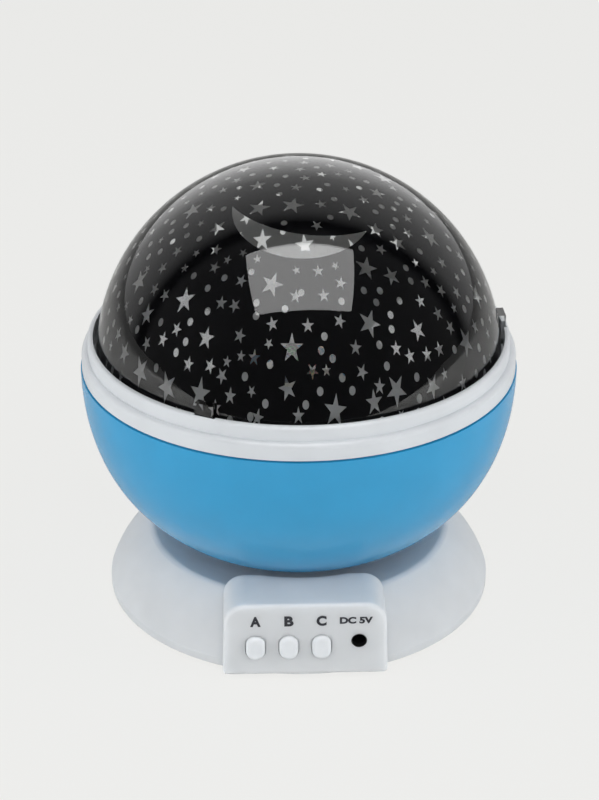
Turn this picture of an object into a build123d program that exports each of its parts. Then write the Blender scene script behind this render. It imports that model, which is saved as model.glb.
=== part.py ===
"""Star night light projector: a light-up star dome on a blue ball that turns on a base.

Millimetres, +Z up. The origin is on the ball's axis, where the rubber feet meet the table, and the
control box faces -Y. The ball, with its collar and dome, turns on a hollow column that is fixed to
the base and carries the lamps and the gear motor.
"""

import os
from math import acos, cos, hypot, pi, radians, sin, tan

from build123d import *

# ---- Ball: bowl, collar and dome ---------------------------------------------------------------
BOWL_R = 65.3  # outside of the bowl at its rim
BOWL_RIM_Z = 74.9
BALL_LIFT = 1.5  # the bowl's bottom above the dish
BOWL_WALL = 2.0
BOWL_FULLNESS = 0.626  # how far the bowl's curve keeps to its corner: 0.552 would be an ellipse
COLLAR_SEAM = 0.5  # shadow groove between the bowl's rim and the collar
COLLAR_SEAM_DEPTH = 1.4
COLLAR_LOW_STEP = 0.4  # lower band, in from the bowl's rim
COLLAR_LOW_H = 5.1
COLLAR_HIGH_STEP = 1.9  # upper band, in from the lower one
COLLAR_HIGH_H = 4.3
COLLAR_LIP_WALL = 1.6
COLLAR_LEDGE_H = 3.6  # ledge that the dome stands on, above the collar's underside
COLLAR_LEDGE_W = 6.0
COLLAR_LOW_ROUND = 1.5
COLLAR_HIGH_ROUND = 1.1
SPIGOT_LENGTH = 2.4  # the collar's ring inside the bowl
SPIGOT_WALL = 1.8
SPIGOT_GAP = 0.3
DOME_GAP = 0.7  # between the dome and the collar's lip
DOME_WALL = 1.6
DOME_CENTRE_RISE = 1.1  # the dome's centre above the bowl's rim
KEY_ANGLES = (-117.0, 3.0, 123.0)  # lugs of the dome in notches of the collar
KEY_WIDTH = 5.8
KEY_RISE = 3.5  # above the collar's top
KEY_SINK = 0.5  # how far a lug reaches into the lip
KEY_GAP = 0.4
DECK_THICK = 1.6
DECK_DROP = 2.9  # deck's underside below the bowl's rim
DECK_GAP = 2.0  # between the deck and the collar's spigot
DECK_HOLE_R = 16.0
COLLAR_SCREW_IN = 2.8  # in from the lip
COLLAR_SCREW_LENGTH = 12.0
COLLAR_SCREW_PILOT = 10.0  # depth of its hole in the bowl's boss
COLLAR_SCREW_ANGLES = (63.0, 183.0, 303.0)
COLLAR_BOSS_R = 3.0

# ---- Base --------------------------------------------------------------------------------------
BASE_R = 58.7
BASE_BOTTOM_Z = 1.2
BASE_EDGE_Z = 3.6  # top of the upright edge
BASE_WALL = 2.0
FLARE_RUN = 13.3  # how far the flared side leans in up to its crest
CREST_ROUND = 2.6
FLARE_BULGE = 1.9  # how far the flared side stands out from a straight cone
DISH_R = 18.0  # flat floor of the dish under the ball
DISH_DEPTH = 7.0  # below the crest
DISH_SINK = 2.2  # how far the dish's underside reaches below the cells' tops, between the bays
DISH_LOW = 0.64  # least height of its slope over the inner cells' tops
DISH_BULGE = -0.3
BALL_ROOM = 2.85  # between the ball and the top of the control box
PLATE_THICK = 2.0
PLATE_GAP = 0.25
FOOT_R = 3.5
FOOT_ANGLE = 43.5  # from the X axis
FOOT_EDGE = 0.6  # between a foot and the plate's edge
FOOT_SINK = 0.8
FOOT_ROUND = 0.4
BASE_SCREW_SPOT = (14.0, 38.0)
BASE_SCREW_LENGTH = 8.0
BASE_SCREW_PILOT = 7.0  # depth of its hole in the boss, above the plate
BASE_BOSS_R = 3.0

# ---- Control box -------------------------------------------------------------------------------
BOX_PROUD = 0.2  # the box's front beyond the base's edge
BOX_DEPTH = 15.2  # least depth of the box in front of the ball
BOX_HALF = 24.15
BOX_DRAFT = 0.65  # how far each side leans in up to the top
BOX_TOP_Z = 25.0
BOX_CORNER_ROUND = 6.3
BOX_FOOT_ROUND = 1.4
BOX_EDGE_ROUND = 1.2
BUTTON_X = (-14.5, -4.85, 4.7)
BUTTON_Z = 10.8
BUTTON_W = 5.6
BUTTON_H = 7.7
BUTTON_CORNER = 2.75
BUTTON_PROUD = 1.4
BUTTON_ROUND = 1.3
BUTTON_GAP = 0.2
BUTTON_FLANGE = 0.65  # the hidden flange stands out this far behind the panel
BUTTON_FLANGE_T = 1.2
BUTTON_PLAY = 0.1
BUTTON_TRAVEL = 0.8
JACK_X = 15.6
JACK_Z = 12.6
JACK_HOLE_R = 2.3
JACK_SOCKET_R = 2.6
JACK_BODY_W = 8.0
JACK_BODY_H = 8.4
JACK_BODY_L = 11.0
JACK_PIN_R = 0.8
JACK_PIN_RECESS = 3.0
JACK_FLOOR = 1.0
JACK_EAR = 1.2
BOARD_THICK = 1.6
BOARD_SETBACK = 5.7  # control board behind the panel's inner face
BOARD_SIDE_GAP = 1.5
BOARD_LIFT = 1.3  # above the bottom plate
BOARD_TOP_GAP = 2.0
BOARD_CORNER = 3.0
BOARD_SCREW_X = (-9.7, 9.4)
BOARD_SCREW_Z = 18.7
BOARD_BOSS_R = 2.3
BOARD_SCREW_LENGTH = 6.0
SWITCH_SIDE = 6.0
SWITCH_DEPTH = 3.1
PLUNGER_R = 1.7
PLUNGER_GAP = 0.08
PLUNGER_END_GAP = 0.2
PLUNGER_SINK = 1.6

# ---- Battery bays ------------------------------------------------------------------------------
CELL_R = 5.25
CELL_LENGTH = 44.5
CELL_NUB_R = 1.9
CELL_NUB = 1.0
CELL_LIFT = 0.3  # above the door
CELL_GAP = 0.2  # between the two cells of a bay
CELL_SIDE_GAP = 0.4
BAY_END_ROOM = 5.0  # for the contacts at both ends
BAY_EDGE = 10.0  # from the base's inner edge in to the bay's outer wall
BAY_WALL = 1.2
BAY_TOP_Z = 9.6
DOOR_LAP = 1.2  # the door's rebate round the bay's mouth
DOOR_THICK = 1.2
DOOR_GAP = 0.3
DOOR_CORNER = 1.0
DOOR_GRIP_COUNT = 5
DOOR_GRIP_PITCH = 1.6
DOOR_GRIP_W = 0.7
DOOR_GRIP_DEPTH = 0.4
DOOR_GRIP_FROM_END = 5.0
DOOR_TAB_IN = 5.5  # from the middle of the bay towards the middle of the base
DOOR_TAB_OUT = 3.5  # the tab's screw beyond the door's end
DOOR_TAB_R = 3.4
CONTACT_THICK = 0.4
CONTACT_W = 8.0
CONTACT_H = 7.0

# ---- Column, drive and lamps -------------------------------------------------------------------
COLUMN_R = 7.0
COLUMN_TOP_R = 5.5
COLUMN_BORE_R = 4.0
COLUMN_FLANGE_EDGE = 3.4  # round the screws
COLUMN_FLANGE_T = 2.4
COLUMN_MOUTH_R = 5.6
LEAD_SLOT_W = 3.0
LEAD_SLOT_H = 8.0
COLUMN_TOP_DROP = 6.0  # the column's top below the deck
COLUMN_SCREW_OUT = 3.6  # out from the column
COLUMN_SCREW_ANGLES = (90.0, 210.0, 330.0)
PAD_EDGE = 1.5  # round the column's flange
PAD_THICK = 4.0
PAD_SKIN = 0.6  # left above the screws' holes
PILOT_SPARE = 0.4  # hole left beyond a screw's tip
WASHER_W = 5.0
WASHER_T = 0.6
BUSH_GAP = 0.05  # running fit of the ball's bush on the column
BUSH_WALL = 2.0
BUSH_FLANGE_W = 3.25
BUSH_FLANGE_T = 1.0
BUSH_LENGTH = 9.4  # above its flange
HUB_WALL = 4.0
CLIP_T = 1.0
CLIP_REACH = 2.2  # out from the column
CLIP_PLAY = 0.15
GROOVE_DEPTH = 0.8
CLIP_POCKET_GAP = 1.4
GEAR_MODULE = 0.8
GEAR_TEETH = 60
PINION_TEETH = 15
GEAR_BACKLASH = 0.16
PRESSURE_ANGLE = 20.0
GEAR_ADDENDUM = 0.85
GEAR_DEDENDUM = 1.25
GEAR_ROOT_FLARE = 0.15
GEAR_RISE = 2.0  # the gear's underside above the bush
GEAR_FACE = 4.0
GEAR_WEB = 2.5
GEAR_RIM = 2.6
GEAR_SCREW_OUT = 4.55  # out from the hub
GEAR_SCREW_BITE = 5.0
GEAR_SCREW_PILOT = 6.0
GEAR_SCREW_ANGLES = (30.0, 150.0, 270.0)
GEAR_BOSS_R = 3.2
PINION_FACE = 4.6
PINION_DROP = 0.3
DRIVE_ROOM = 3.2  # least height of the gear above the bowl's outside below the pinion
PLATFORM_RISE = 3.0  # above the gear
PLATFORM_T = 2.0
PLATFORM_R = 15.0
PLATFORM_HUB_R = 9.0
PLATFORM_HUB_H = 5.0
PLATFORM_ARM_R = 9.0
PLATFORM_GAP = 0.1
MOTOR_W = 12.0
MOTOR_D = 10.0
GEARBOX_H = 9.0
MOTOR_H = 15.0
MOTOR_BOSS_R = 2.0
MOTOR_BOSS_H = 0.8
MOTOR_SHAFT_R = 1.5
SHAFT_GAP = 0.06
SHAFT_SEAT = 6.0
MOTOR_SCREW_X = 4.5
MOTOR_SCREW_LENGTH = 4.0
LAMP_DISC_R = 14.0
LAMP_DISC_T = 2.0
LAMP_SPIGOT = 4.0
LAMP_CABLE_R = 2.6
LAMP_BOARD_R = 13.0
LAMP_BOARD_T = 1.6
LAMP_SCREW_R = 9.8
LED_R = 2.5
LED_FLANGE_W = 0.4
LED_FLANGE_T = 1.0
LED_BODY = 5.1
LED_GAP = 0.56  # between the flanges of two neighbours
LED_ANGLES = {"led_warm": -62.0, "led_red": 28.0, "led_green": 118.0, "led_blue": 208.0}

# ---- Screws: (thread radius, head radius, head height) -----------------------------------------
SCREW_LARGE = (1.25, 2.3, 1.6)
SCREW_SMALL = (1.0, 1.9, 1.2)
SCREW_TINY = (0.8, 1.5, 0.9)
SCREW_DOOR = (1.25, 2.3, 0.9)
DOOR_SCREW_LENGTH = 5.0
DOOR_SCREW_GAP = 0.08  # round its thread, which comes out with the door
SCREW_CLEARANCE = 0.25

# ---- Leads -------------------------------------------------------------------------------------
LAMP_CABLE_OD = 2.0
MOTOR_LEAD_OD = 1.4
BATTERY_LEAD_OD = 1.3
LEAD_SHARE = 0.45  # share of the shorter run that a bend takes up
BISECTION_STEP = 1e-6  # of the bowl's curve, when a point is looked up on it

# ---- Worked out from the sizes above -----------------------------------------------------------
DOOR_TOP_Z = BASE_BOTTOM_Z + DOOR_THICK
CELL_Z = DOOR_TOP_Z + CELL_LIFT + CELL_R
CELL_PITCH = 2 * CELL_R + CELL_GAP
BAY_W = CELL_PITCH + 2 * CELL_R + 2 * CELL_SIDE_GAP
BAY_L = CELL_LENGTH + BAY_END_ROOM
BAY_X = BASE_R - BASE_WALL - BAY_EDGE - BAY_WALL - BAY_W / 2
CREST_R = BASE_R - FLARE_RUN
DISH_SLOPE = DISH_DEPTH / (CREST_R - DISH_R)
DISH_RISE = DISH_SLOPE * (BAY_X - CELL_PITCH / 2 - DISH_R)
DISH_Z = CELL_Z + CELL_R + BASE_WALL - min(DISH_SINK, DISH_RISE - DISH_LOW)
CREST_Z = DISH_Z + DISH_DEPTH
BOWL_BOTTOM_Z = DISH_Z + BALL_LIFT
COLLAR_LOW_R = BOWL_R - COLLAR_LOW_STEP
COLLAR_HIGH_R = COLLAR_LOW_R - COLLAR_HIGH_STEP
COLLAR_Z = BOWL_RIM_Z + COLLAR_SEAM
COLLAR_STEP_Z = COLLAR_Z + COLLAR_LOW_H
COLLAR_TOP_Z = COLLAR_STEP_Z + COLLAR_HIGH_H
LEDGE_Z = COLLAR_Z + COLLAR_LEDGE_H
LIP_R = COLLAR_HIGH_R - COLLAR_LIP_WALL
COLLAR_LEDGE_R = LIP_R - COLLAR_LEDGE_W
COLLAR_SCREW_R = LIP_R - COLLAR_SCREW_IN
DOME_R = LIP_R - DOME_GAP
KEY_REACH = LIP_R + KEY_SINK
SPIGOT_R = BOWL_R - BOWL_WALL - SPIGOT_GAP
DOME_Z = BOWL_RIM_Z + DOME_CENTRE_RISE
DECK_Z = BOWL_RIM_Z - DECK_DROP
DECK_R = SPIGOT_R - SPIGOT_WALL - DECK_GAP
DECK_EAR_R = SPIGOT_R - SPIGOT_WALL - COLLAR_SCREW_R - PLATFORM_GAP
DECK_TOP_Z = DECK_Z + DECK_THICK
PLATE_TOP_Z = BASE_BOTTOM_Z + PLATE_THICK
PLATE_R = BASE_R - BASE_WALL - PLATE_GAP
FOOT_SPOT_R = PLATE_R - FOOT_R - FOOT_EDGE
BOX_TOP_HALF = BOX_HALF - BOX_DRAFT
BOARD_HALF = BOX_TOP_HALF - BASE_WALL - BOARD_SIDE_GAP
BOARD_Z0 = PLATE_TOP_Z + BOARD_LIFT
BOARD_Z1 = BOX_TOP_Z - BASE_WALL - BOARD_TOP_GAP
PAD_Z = DISH_Z - PAD_THICK
FLANGE_Z = PAD_Z - COLUMN_FLANGE_T
WASHER_Z = DISH_Z
WASHER_R = COLUMN_R + WASHER_W
BUSH_Z = WASHER_Z + WASHER_T
BUSH_R = COLUMN_R + BUSH_GAP + BUSH_WALL
BUSH_FLANGE_R = BUSH_R + BUSH_FLANGE_W
HUB_Z = BUSH_Z + BUSH_FLANGE_T
HUB_R = BUSH_R + HUB_WALL
BUSH_TOP_Z = HUB_Z + BUSH_LENGTH
CLIP_Z = BUSH_TOP_Z + CLIP_PLAY
CLIP_R = COLUMN_R + CLIP_REACH
CLIP_POCKET_R = CLIP_R + CLIP_POCKET_GAP
COLUMN_TOP_Z = DECK_Z - COLUMN_TOP_DROP
COLUMN_SCREW_R = COLUMN_R + COLUMN_SCREW_OUT
COLUMN_FLANGE_R = COLUMN_SCREW_R + COLUMN_FLANGE_EDGE
PAD_R = COLUMN_FLANGE_R + PAD_EDGE
GEAR_SCREW_R = HUB_R + GEAR_SCREW_OUT
GEAR_PITCH_R = GEAR_MODULE * GEAR_TEETH / 2
GEAR_ROOT_R = GEAR_PITCH_R - GEAR_DEDENDUM * GEAR_MODULE
GEAR_RECESS_R = max(GEAR_ROOT_R - GEAR_RIM, GEAR_SCREW_R + SCREW_LARGE[1] + SCREW_CLEARANCE)
PINION_PITCH_R = GEAR_MODULE * PINION_TEETH / 2
PINION_X = GEAR_PITCH_R + PINION_PITCH_R
PINION_REACH = PINION_X + PINION_PITCH_R + GEAR_MODULE
LAMP_BOARD_Z = COLUMN_TOP_Z + LAMP_DISC_T
LED_Z = LAMP_BOARD_Z + LAMP_BOARD_T
LED_FLANGE_R = LED_R + LED_FLANGE_W
LED_RING_R = (LED_FLANGE_R + LED_GAP / 2) / sin(radians(45))
DOOR_W = BAY_W + 2 * DOOR_LAP
DOOR_L = BAY_L + 2 * DOOR_LAP
DOOR_TAB_X = BAY_X - DOOR_TAB_IN
DOOR_TAB_Y = DOOR_L / 2 + DOOR_TAB_OUT
KEY_INNER_R = DOME_R - 2 * DOME_WALL
DOOR_TAB_SPOTS = [(DOOR_TAB_X, DOOR_TAB_Y), (-DOOR_TAB_X, DOOR_TAB_Y)]


# ---- Shared shapes -----------------------------------------------------------------------------
def bowl_corners(inset):
    """Four control points of the bowl's curve from rim to bottom, moved inwards by inset."""
    rim_r = BOWL_R - inset
    bottom_z = BOWL_BOTTOM_Z + inset
    drop = BOWL_FULLNESS * (BOWL_RIM_Z - bottom_z)
    rim_pull = (rim_r, BOWL_RIM_Z - drop)
    bottom_pull = (BOWL_FULLNESS * rim_r, bottom_z)
    return (rim_r, BOWL_RIM_Z), rim_pull, bottom_pull, (0, bottom_z)


def bowl_point(axis, value):
    """The radius and height of the bowl's outside where the radius (axis 0) or height (1) is value."""
    low, high = 0.0, 1.0
    while high - low > BISECTION_STEP:
        u = (low + high) / 2
        weights = ((1 - u) ** 3, 3 * u * (1 - u) ** 2, 3 * u**2 * (1 - u), u**3)
        curve = list(zip(weights, bowl_corners(0)))
        point = [sum(weight * corner[i] for weight, corner in curve) for i in (0, 1)]
        if point[axis] > value:
            low = u
        else:
            high = u
    return point


def bulged(start, end, bulge):
    """A point beside the middle of a straight line, to its right by bulge."""
    length = hypot(end[0] - start[0], end[1] - start[1])
    side = ((end[1] - start[1]) / length, -(end[0] - start[0]) / length)
    return (start[0] + end[0]) / 2 + bulge * side[0], (start[1] + end[1]) / 2 + bulge * side[1]


def polar_spot(radius, angle):
    """The point at a radius and an angle in degrees."""
    return radius * cos(radians(angle)), radius * sin(radians(angle))


def inset_corner(before, corner, after, inset):
    """A corner of an outline moved in by inset from both of its sides."""
    normals = []
    for start, end in ((before, corner), (corner, after)):
        length = hypot(end[0] - start[0], end[1] - start[1])
        normals.append((-(end[1] - start[1]) / length, (end[0] - start[0]) / length))
    (ax, ay), (bx, by) = normals
    share = inset / (1 + ax * bx + ay * by)
    return corner[0] + share * (ax + bx), corner[1] + share * (ay + by)


def base_section(inset):
    """Half section of the base's form, drawn in X and Z, its sides and top moved in by inset."""
    outer_edge = (BASE_R, BASE_EDGE_Z)
    outer_dish = (DISH_R, DISH_Z)
    edge = (BASE_R - inset, BASE_EDGE_Z)
    crest = inset_corner(outer_edge, (CREST_R, CREST_Z), outer_dish, inset)
    dish = (DISH_R, DISH_Z - inset)
    with BuildSketch() as section:
        with BuildLine():
            Polyline((0, DISH_Z - inset), (0, BASE_BOTTOM_Z), (BASE_R - inset, BASE_BOTTOM_Z), edge)
            ThreePointArc(edge, bulged(edge, crest, FLARE_BULGE), crest)
            ThreePointArc(crest, bulged(crest, dish, DISH_BULGE), dish)
            Line(dish, (0, DISH_Z - inset))
        make_face()
        fillet(section.vertices().sort_by(Axis.Y)[-1], CREST_ROUND)
    return section.sketch


def box_section(inset, corner_round):
    """Front outline of the control box, drawn in X and Z, with its sides and top moved in by inset."""
    with BuildSketch() as section:
        with BuildLine():
            Polyline(
                (-BOX_HALF + inset, BASE_BOTTOM_Z),
                (BOX_HALF - inset, BASE_BOTTOM_Z),
                (BOX_TOP_HALF - inset, BOX_TOP_Z - inset),
                (-BOX_TOP_HALF + inset, BOX_TOP_Z - inset),
                close=True,
            )
        make_face()
        fillet(section.vertices().group_by(Axis.Y)[-1], corner_round)
    return section.sketch


def upright(y):
    """An upright plane at y that looks forwards, with X to the right and Z up."""
    return Plane.XZ.offset(-y)


def screw(size, length):
    """A pan-head screw whose head's underside is at the origin, with its thread running down."""
    thread_r, head_r, head_h = size
    with BuildPart() as body:
        Cylinder(head_r, head_h, align=(Align.CENTER, Align.CENTER, Align.MIN))
        fillet(body.edges().sort_by(Axis.Z)[-1], 0.4 * head_h)
        Cylinder(thread_r, length, align=(Align.CENTER, Align.CENTER, Align.MAX))
        with Locations((0, 0, head_h)):
            Box(1.3 * head_r, 0.3 * head_r, 0.8 * head_h, mode=Mode.SUBTRACT)
            Box(0.3 * head_r, 1.3 * head_r, 0.8 * head_h, mode=Mode.SUBTRACT)
    return body.part


def involute(r, base_r):
    """The involute function of the pressure angle at radius r."""
    angle = acos(base_r / r)
    return tan(angle) - angle


def gear_outline(teeth, addendum):
    """Closed outline of a spur gear with a tooth on +X, its teeth thinned for backlash."""
    pitch_r = GEAR_MODULE * teeth / 2
    base_r = pitch_r * cos(radians(PRESSURE_ANGLE))
    tip_r = pitch_r + GEAR_MODULE * addendum
    root_r = pitch_r - GEAR_DEDENDUM * GEAR_MODULE
    start_r = max(base_r, root_r)
    half_pitch = pi / (2 * teeth) - GEAR_BACKLASH / (2 * pitch_r) + involute(pitch_r, base_r)
    radii = [start_r + (tip_r - start_r) * step / 3 for step in range(4)]
    flank = [(r, half_pitch - involute(r, base_r)) for r in radii]
    flank.insert(0, (root_r, flank[0][1] + GEAR_ROOT_FLARE * GEAR_MODULE / root_r))
    points = []
    for tooth in range(teeth):
        middle = 2 * pi * tooth / teeth
        for r, half in flank:
            points.append((r * cos(middle - half), r * sin(middle - half)))
        for r, half in reversed(flank):
            points.append((r * cos(middle + half), r * sin(middle + half)))
    return points


def clip_outline(groove_r, outer_r):
    """Outline of a retaining clip that snaps round a groove, open towards -Y."""
    with BuildSketch() as outline:
        Circle(outer_r)
        Circle(groove_r, mode=Mode.SUBTRACT)
        with Locations((0, -outer_r)):
            Rectangle(1.5 * groove_r, 2 * outer_r, mode=Mode.SUBTRACT)
    return outline.sketch


def lead_path(points):
    """A lead's path: straight runs joined by arcs, each as large as its two runs allow."""
    spots = [Vector(*point) for point in points]
    radii = []
    for before, corner, after in zip(spots, spots[1:], spots[2:]):
        turn = radians((corner - before).get_angle(after - corner))
        shorter = min((corner - before).length, (after - corner).length)
        radii.append(LEAD_SHARE * shorter / tan(turn / 2))
    print("bend radii", [round(r, 1) for r in radii])
    return FilletPolyline(*spots, radius=radii)


def lead(points, diameter):
    """A round lead swept along its path."""
    with BuildPart() as body:
        with BuildLine() as route:
            lead_path(points)
        start = Plane(origin=route.line @ 0, z_dir=route.line % 0)
        with BuildSketch(start):
            Circle(diameter / 2)
        sweep(path=route.line)
    return body.part


def mirrored_spots(x, y):
    """The four places (+-x, +-y)."""
    return [(x, y), (-x, y), (-x, -y), (x, -y)]


# ---- Places that follow the bowl's curve -------------------------------------------------------
GEAR_Z = max(BUSH_TOP_Z + GEAR_RISE, bowl_point(0, PINION_REACH)[1] + DRIVE_ROOM)
HUB_TOP_Z = GEAR_Z + GEAR_WEB
PLATFORM_Z = GEAR_Z + GEAR_FACE + PLATFORM_RISE
GEARBOX_Z = PLATFORM_Z + PLATFORM_T
MOTOR_Z = GEARBOX_Z + GEARBOX_H
PLATFORM_CLIP_Z = PLATFORM_Z + PLATFORM_HUB_H
BALL_ROOM_R = bowl_point(1, BOX_TOP_Z)[0] + BALL_ROOM
BOX_FRONT_Y = -max(BASE_R + BOX_PROUD, BALL_ROOM_R + BOX_DEPTH)
PANEL_BACK_Y = BOX_FRONT_Y + BASE_WALL
BOARD_Y = PANEL_BACK_Y + BOARD_SETBACK
SWITCH_Y = BOARD_Y - SWITCH_DEPTH
FLANGE_Y = PANEL_BACK_Y + BUTTON_PLAY
PLUNGER_Y = FLANGE_Y + BUTTON_FLANGE_T
FOOT_SPOTS = mirrored_spots(*polar_spot(FOOT_SPOT_R, FOOT_ANGLE))

os.makedirs("parts", exist_ok=True)

# ---- Bowl --------------------------------------------------------------------------------------
with BuildPart() as bowl_room:
    with BuildSketch(Plane.XZ):
        with BuildLine():
            rim, rim_pull, bottom_pull, bottom = bowl_corners(BOWL_WALL)
            Bezier(rim, rim_pull, bottom_pull, bottom)
            Polyline(bottom, (0, BOWL_RIM_Z), rim)
        make_face()
    revolve(axis=Axis.Z)
    with BuildSketch(Plane.XY.offset(HUB_Z)):
        Circle(HUB_R)
    extrude(amount=HUB_TOP_Z - HUB_Z, mode=Mode.SUBTRACT)
    with BuildSketch(Plane.XY.offset(BOWL_BOTTOM_Z)):
        with Locations(*[polar_spot(GEAR_SCREW_R, a) for a in GEAR_SCREW_ANGLES]):
            Circle(GEAR_BOSS_R)
    extrude(amount=GEAR_Z - BOWL_BOTTOM_Z, mode=Mode.SUBTRACT)
    with BuildSketch(Plane.XY.offset(BOWL_BOTTOM_Z)):
        with Locations(*[polar_spot(COLLAR_SCREW_R, a) for a in COLLAR_SCREW_ANGLES]):
            Circle(COLLAR_BOSS_R)
        for angle in COLLAR_SCREW_ANGLES:
            with Locations(Location(polar_spot(COLLAR_SCREW_R + COLLAR_BOSS_R, angle), angle)):
                Rectangle(2 * COLLAR_BOSS_R, BOWL_WALL)
    extrude(amount=DECK_Z - BOWL_BOTTOM_Z, mode=Mode.SUBTRACT)

with BuildPart() as bowl_shell:
    with BuildSketch(Plane.XZ):
        with BuildLine():
            rim, rim_pull, bottom_pull, bottom = bowl_corners(0)
            Bezier(rim, rim_pull, bottom_pull, bottom)
            Polyline(bottom, (0, BOWL_RIM_Z), rim)
        make_face()
    revolve(axis=Axis.Z)
    add(bowl_room.part, mode=Mode.SUBTRACT)
    with BuildSketch(Plane.XY.offset(BOWL_BOTTOM_Z)):
        Circle(HUB_R)
    extrude(amount=HUB_Z - BOWL_BOTTOM_Z, mode=Mode.SUBTRACT)
    with BuildSketch(Plane.XY.offset(HUB_Z)):
        Circle(BUSH_R)
    extrude(amount=HUB_TOP_Z - HUB_Z, mode=Mode.SUBTRACT)
    with BuildSketch(Plane.XY.offset(BUSH_TOP_Z)):
        Circle(CLIP_POCKET_R)
    extrude(amount=HUB_TOP_Z - BUSH_TOP_Z, mode=Mode.SUBTRACT)
    with BuildSketch(Plane.XY.offset(GEAR_Z)):
        with Locations(*[polar_spot(GEAR_SCREW_R, a) for a in GEAR_SCREW_ANGLES]):
            Circle(SCREW_LARGE[0])
    extrude(amount=-GEAR_SCREW_PILOT, mode=Mode.SUBTRACT)
    with BuildSketch(Plane.XY.offset(DECK_Z)):
        with Locations(*[polar_spot(COLLAR_SCREW_R, a) for a in COLLAR_SCREW_ANGLES]):
            Circle(SCREW_LARGE[0])
    extrude(amount=-COLLAR_SCREW_PILOT, mode=Mode.SUBTRACT)
bowl_shell.part.label = "bowl_shell"
export_step(bowl_shell.part, "parts/bowl_shell.step")

# ---- Bush that the ball turns on ---------------------------------------------------------------
with BuildPart() as hub_bush:
    with BuildSketch(Plane.XY.offset(BUSH_Z)):
        Circle(BUSH_FLANGE_R)
        Circle(COLUMN_R + BUSH_GAP, mode=Mode.SUBTRACT)
    extrude(amount=BUSH_FLANGE_T)
    with BuildSketch(Plane.XY.offset(HUB_Z)):
        Circle(BUSH_R)
        Circle(COLUMN_R + BUSH_GAP, mode=Mode.SUBTRACT)
    extrude(amount=BUSH_TOP_Z - HUB_Z)
hub_bush.part.label = "hub_bush"
export_step(hub_bush.part, "parts/hub_bush.step")

# ---- Gear on the ball and its pinion -----------------------------------------------------------
with BuildPart() as ring_gear:
    with BuildSketch(Plane.XY.offset(GEAR_Z)):
        with BuildLine():
            Polyline(*gear_outline(GEAR_TEETH, GEAR_ADDENDUM), close=True)
        make_face()
        Circle(HUB_R, mode=Mode.SUBTRACT)
        with Locations(*[polar_spot(GEAR_SCREW_R, a) for a in GEAR_SCREW_ANGLES]):
            Circle(SCREW_LARGE[0] + SCREW_CLEARANCE, mode=Mode.SUBTRACT)
    extrude(amount=GEAR_FACE)
    with BuildSketch(Plane.XY.offset(GEAR_Z + GEAR_WEB)):
        Circle(GEAR_RECESS_R)
    extrude(amount=GEAR_FACE - GEAR_WEB, mode=Mode.SUBTRACT)
ring_gear.part.label = "ring_gear"
export_step(ring_gear.part, "parts/ring_gear.step")

with BuildPart() as drive_pinion:
    with BuildSketch(Plane.XY.offset(GEAR_Z - PINION_DROP)):
        with BuildLine():
            Polyline(*[(PINION_X + x, y) for x, y in gear_outline(PINION_TEETH, 1.0)], close=True)
        make_face()
    extrude(amount=PINION_FACE)
    with BuildSketch(Plane.XY.offset(GEAR_Z - PINION_DROP)):
        with Locations((PINION_X, 0)):
            Circle(MOTOR_SHAFT_R)
    extrude(amount=GEARBOX_Z + SHAFT_SEAT - GEAR_Z)
drive_pinion.part.label = "drive_pinion"
export_step(drive_pinion.part, "parts/drive_pinion.step")

with BuildPart() as gear_screws:
    for angle in GEAR_SCREW_ANGLES:
        with Locations((*polar_spot(GEAR_SCREW_R, angle), HUB_TOP_Z)):
            add(screw(SCREW_LARGE, GEAR_WEB + GEAR_SCREW_BITE))
gear_screws.part.label = "gear_screws"
export_step(gear_screws.part, "parts/gear_screws.step")

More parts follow.
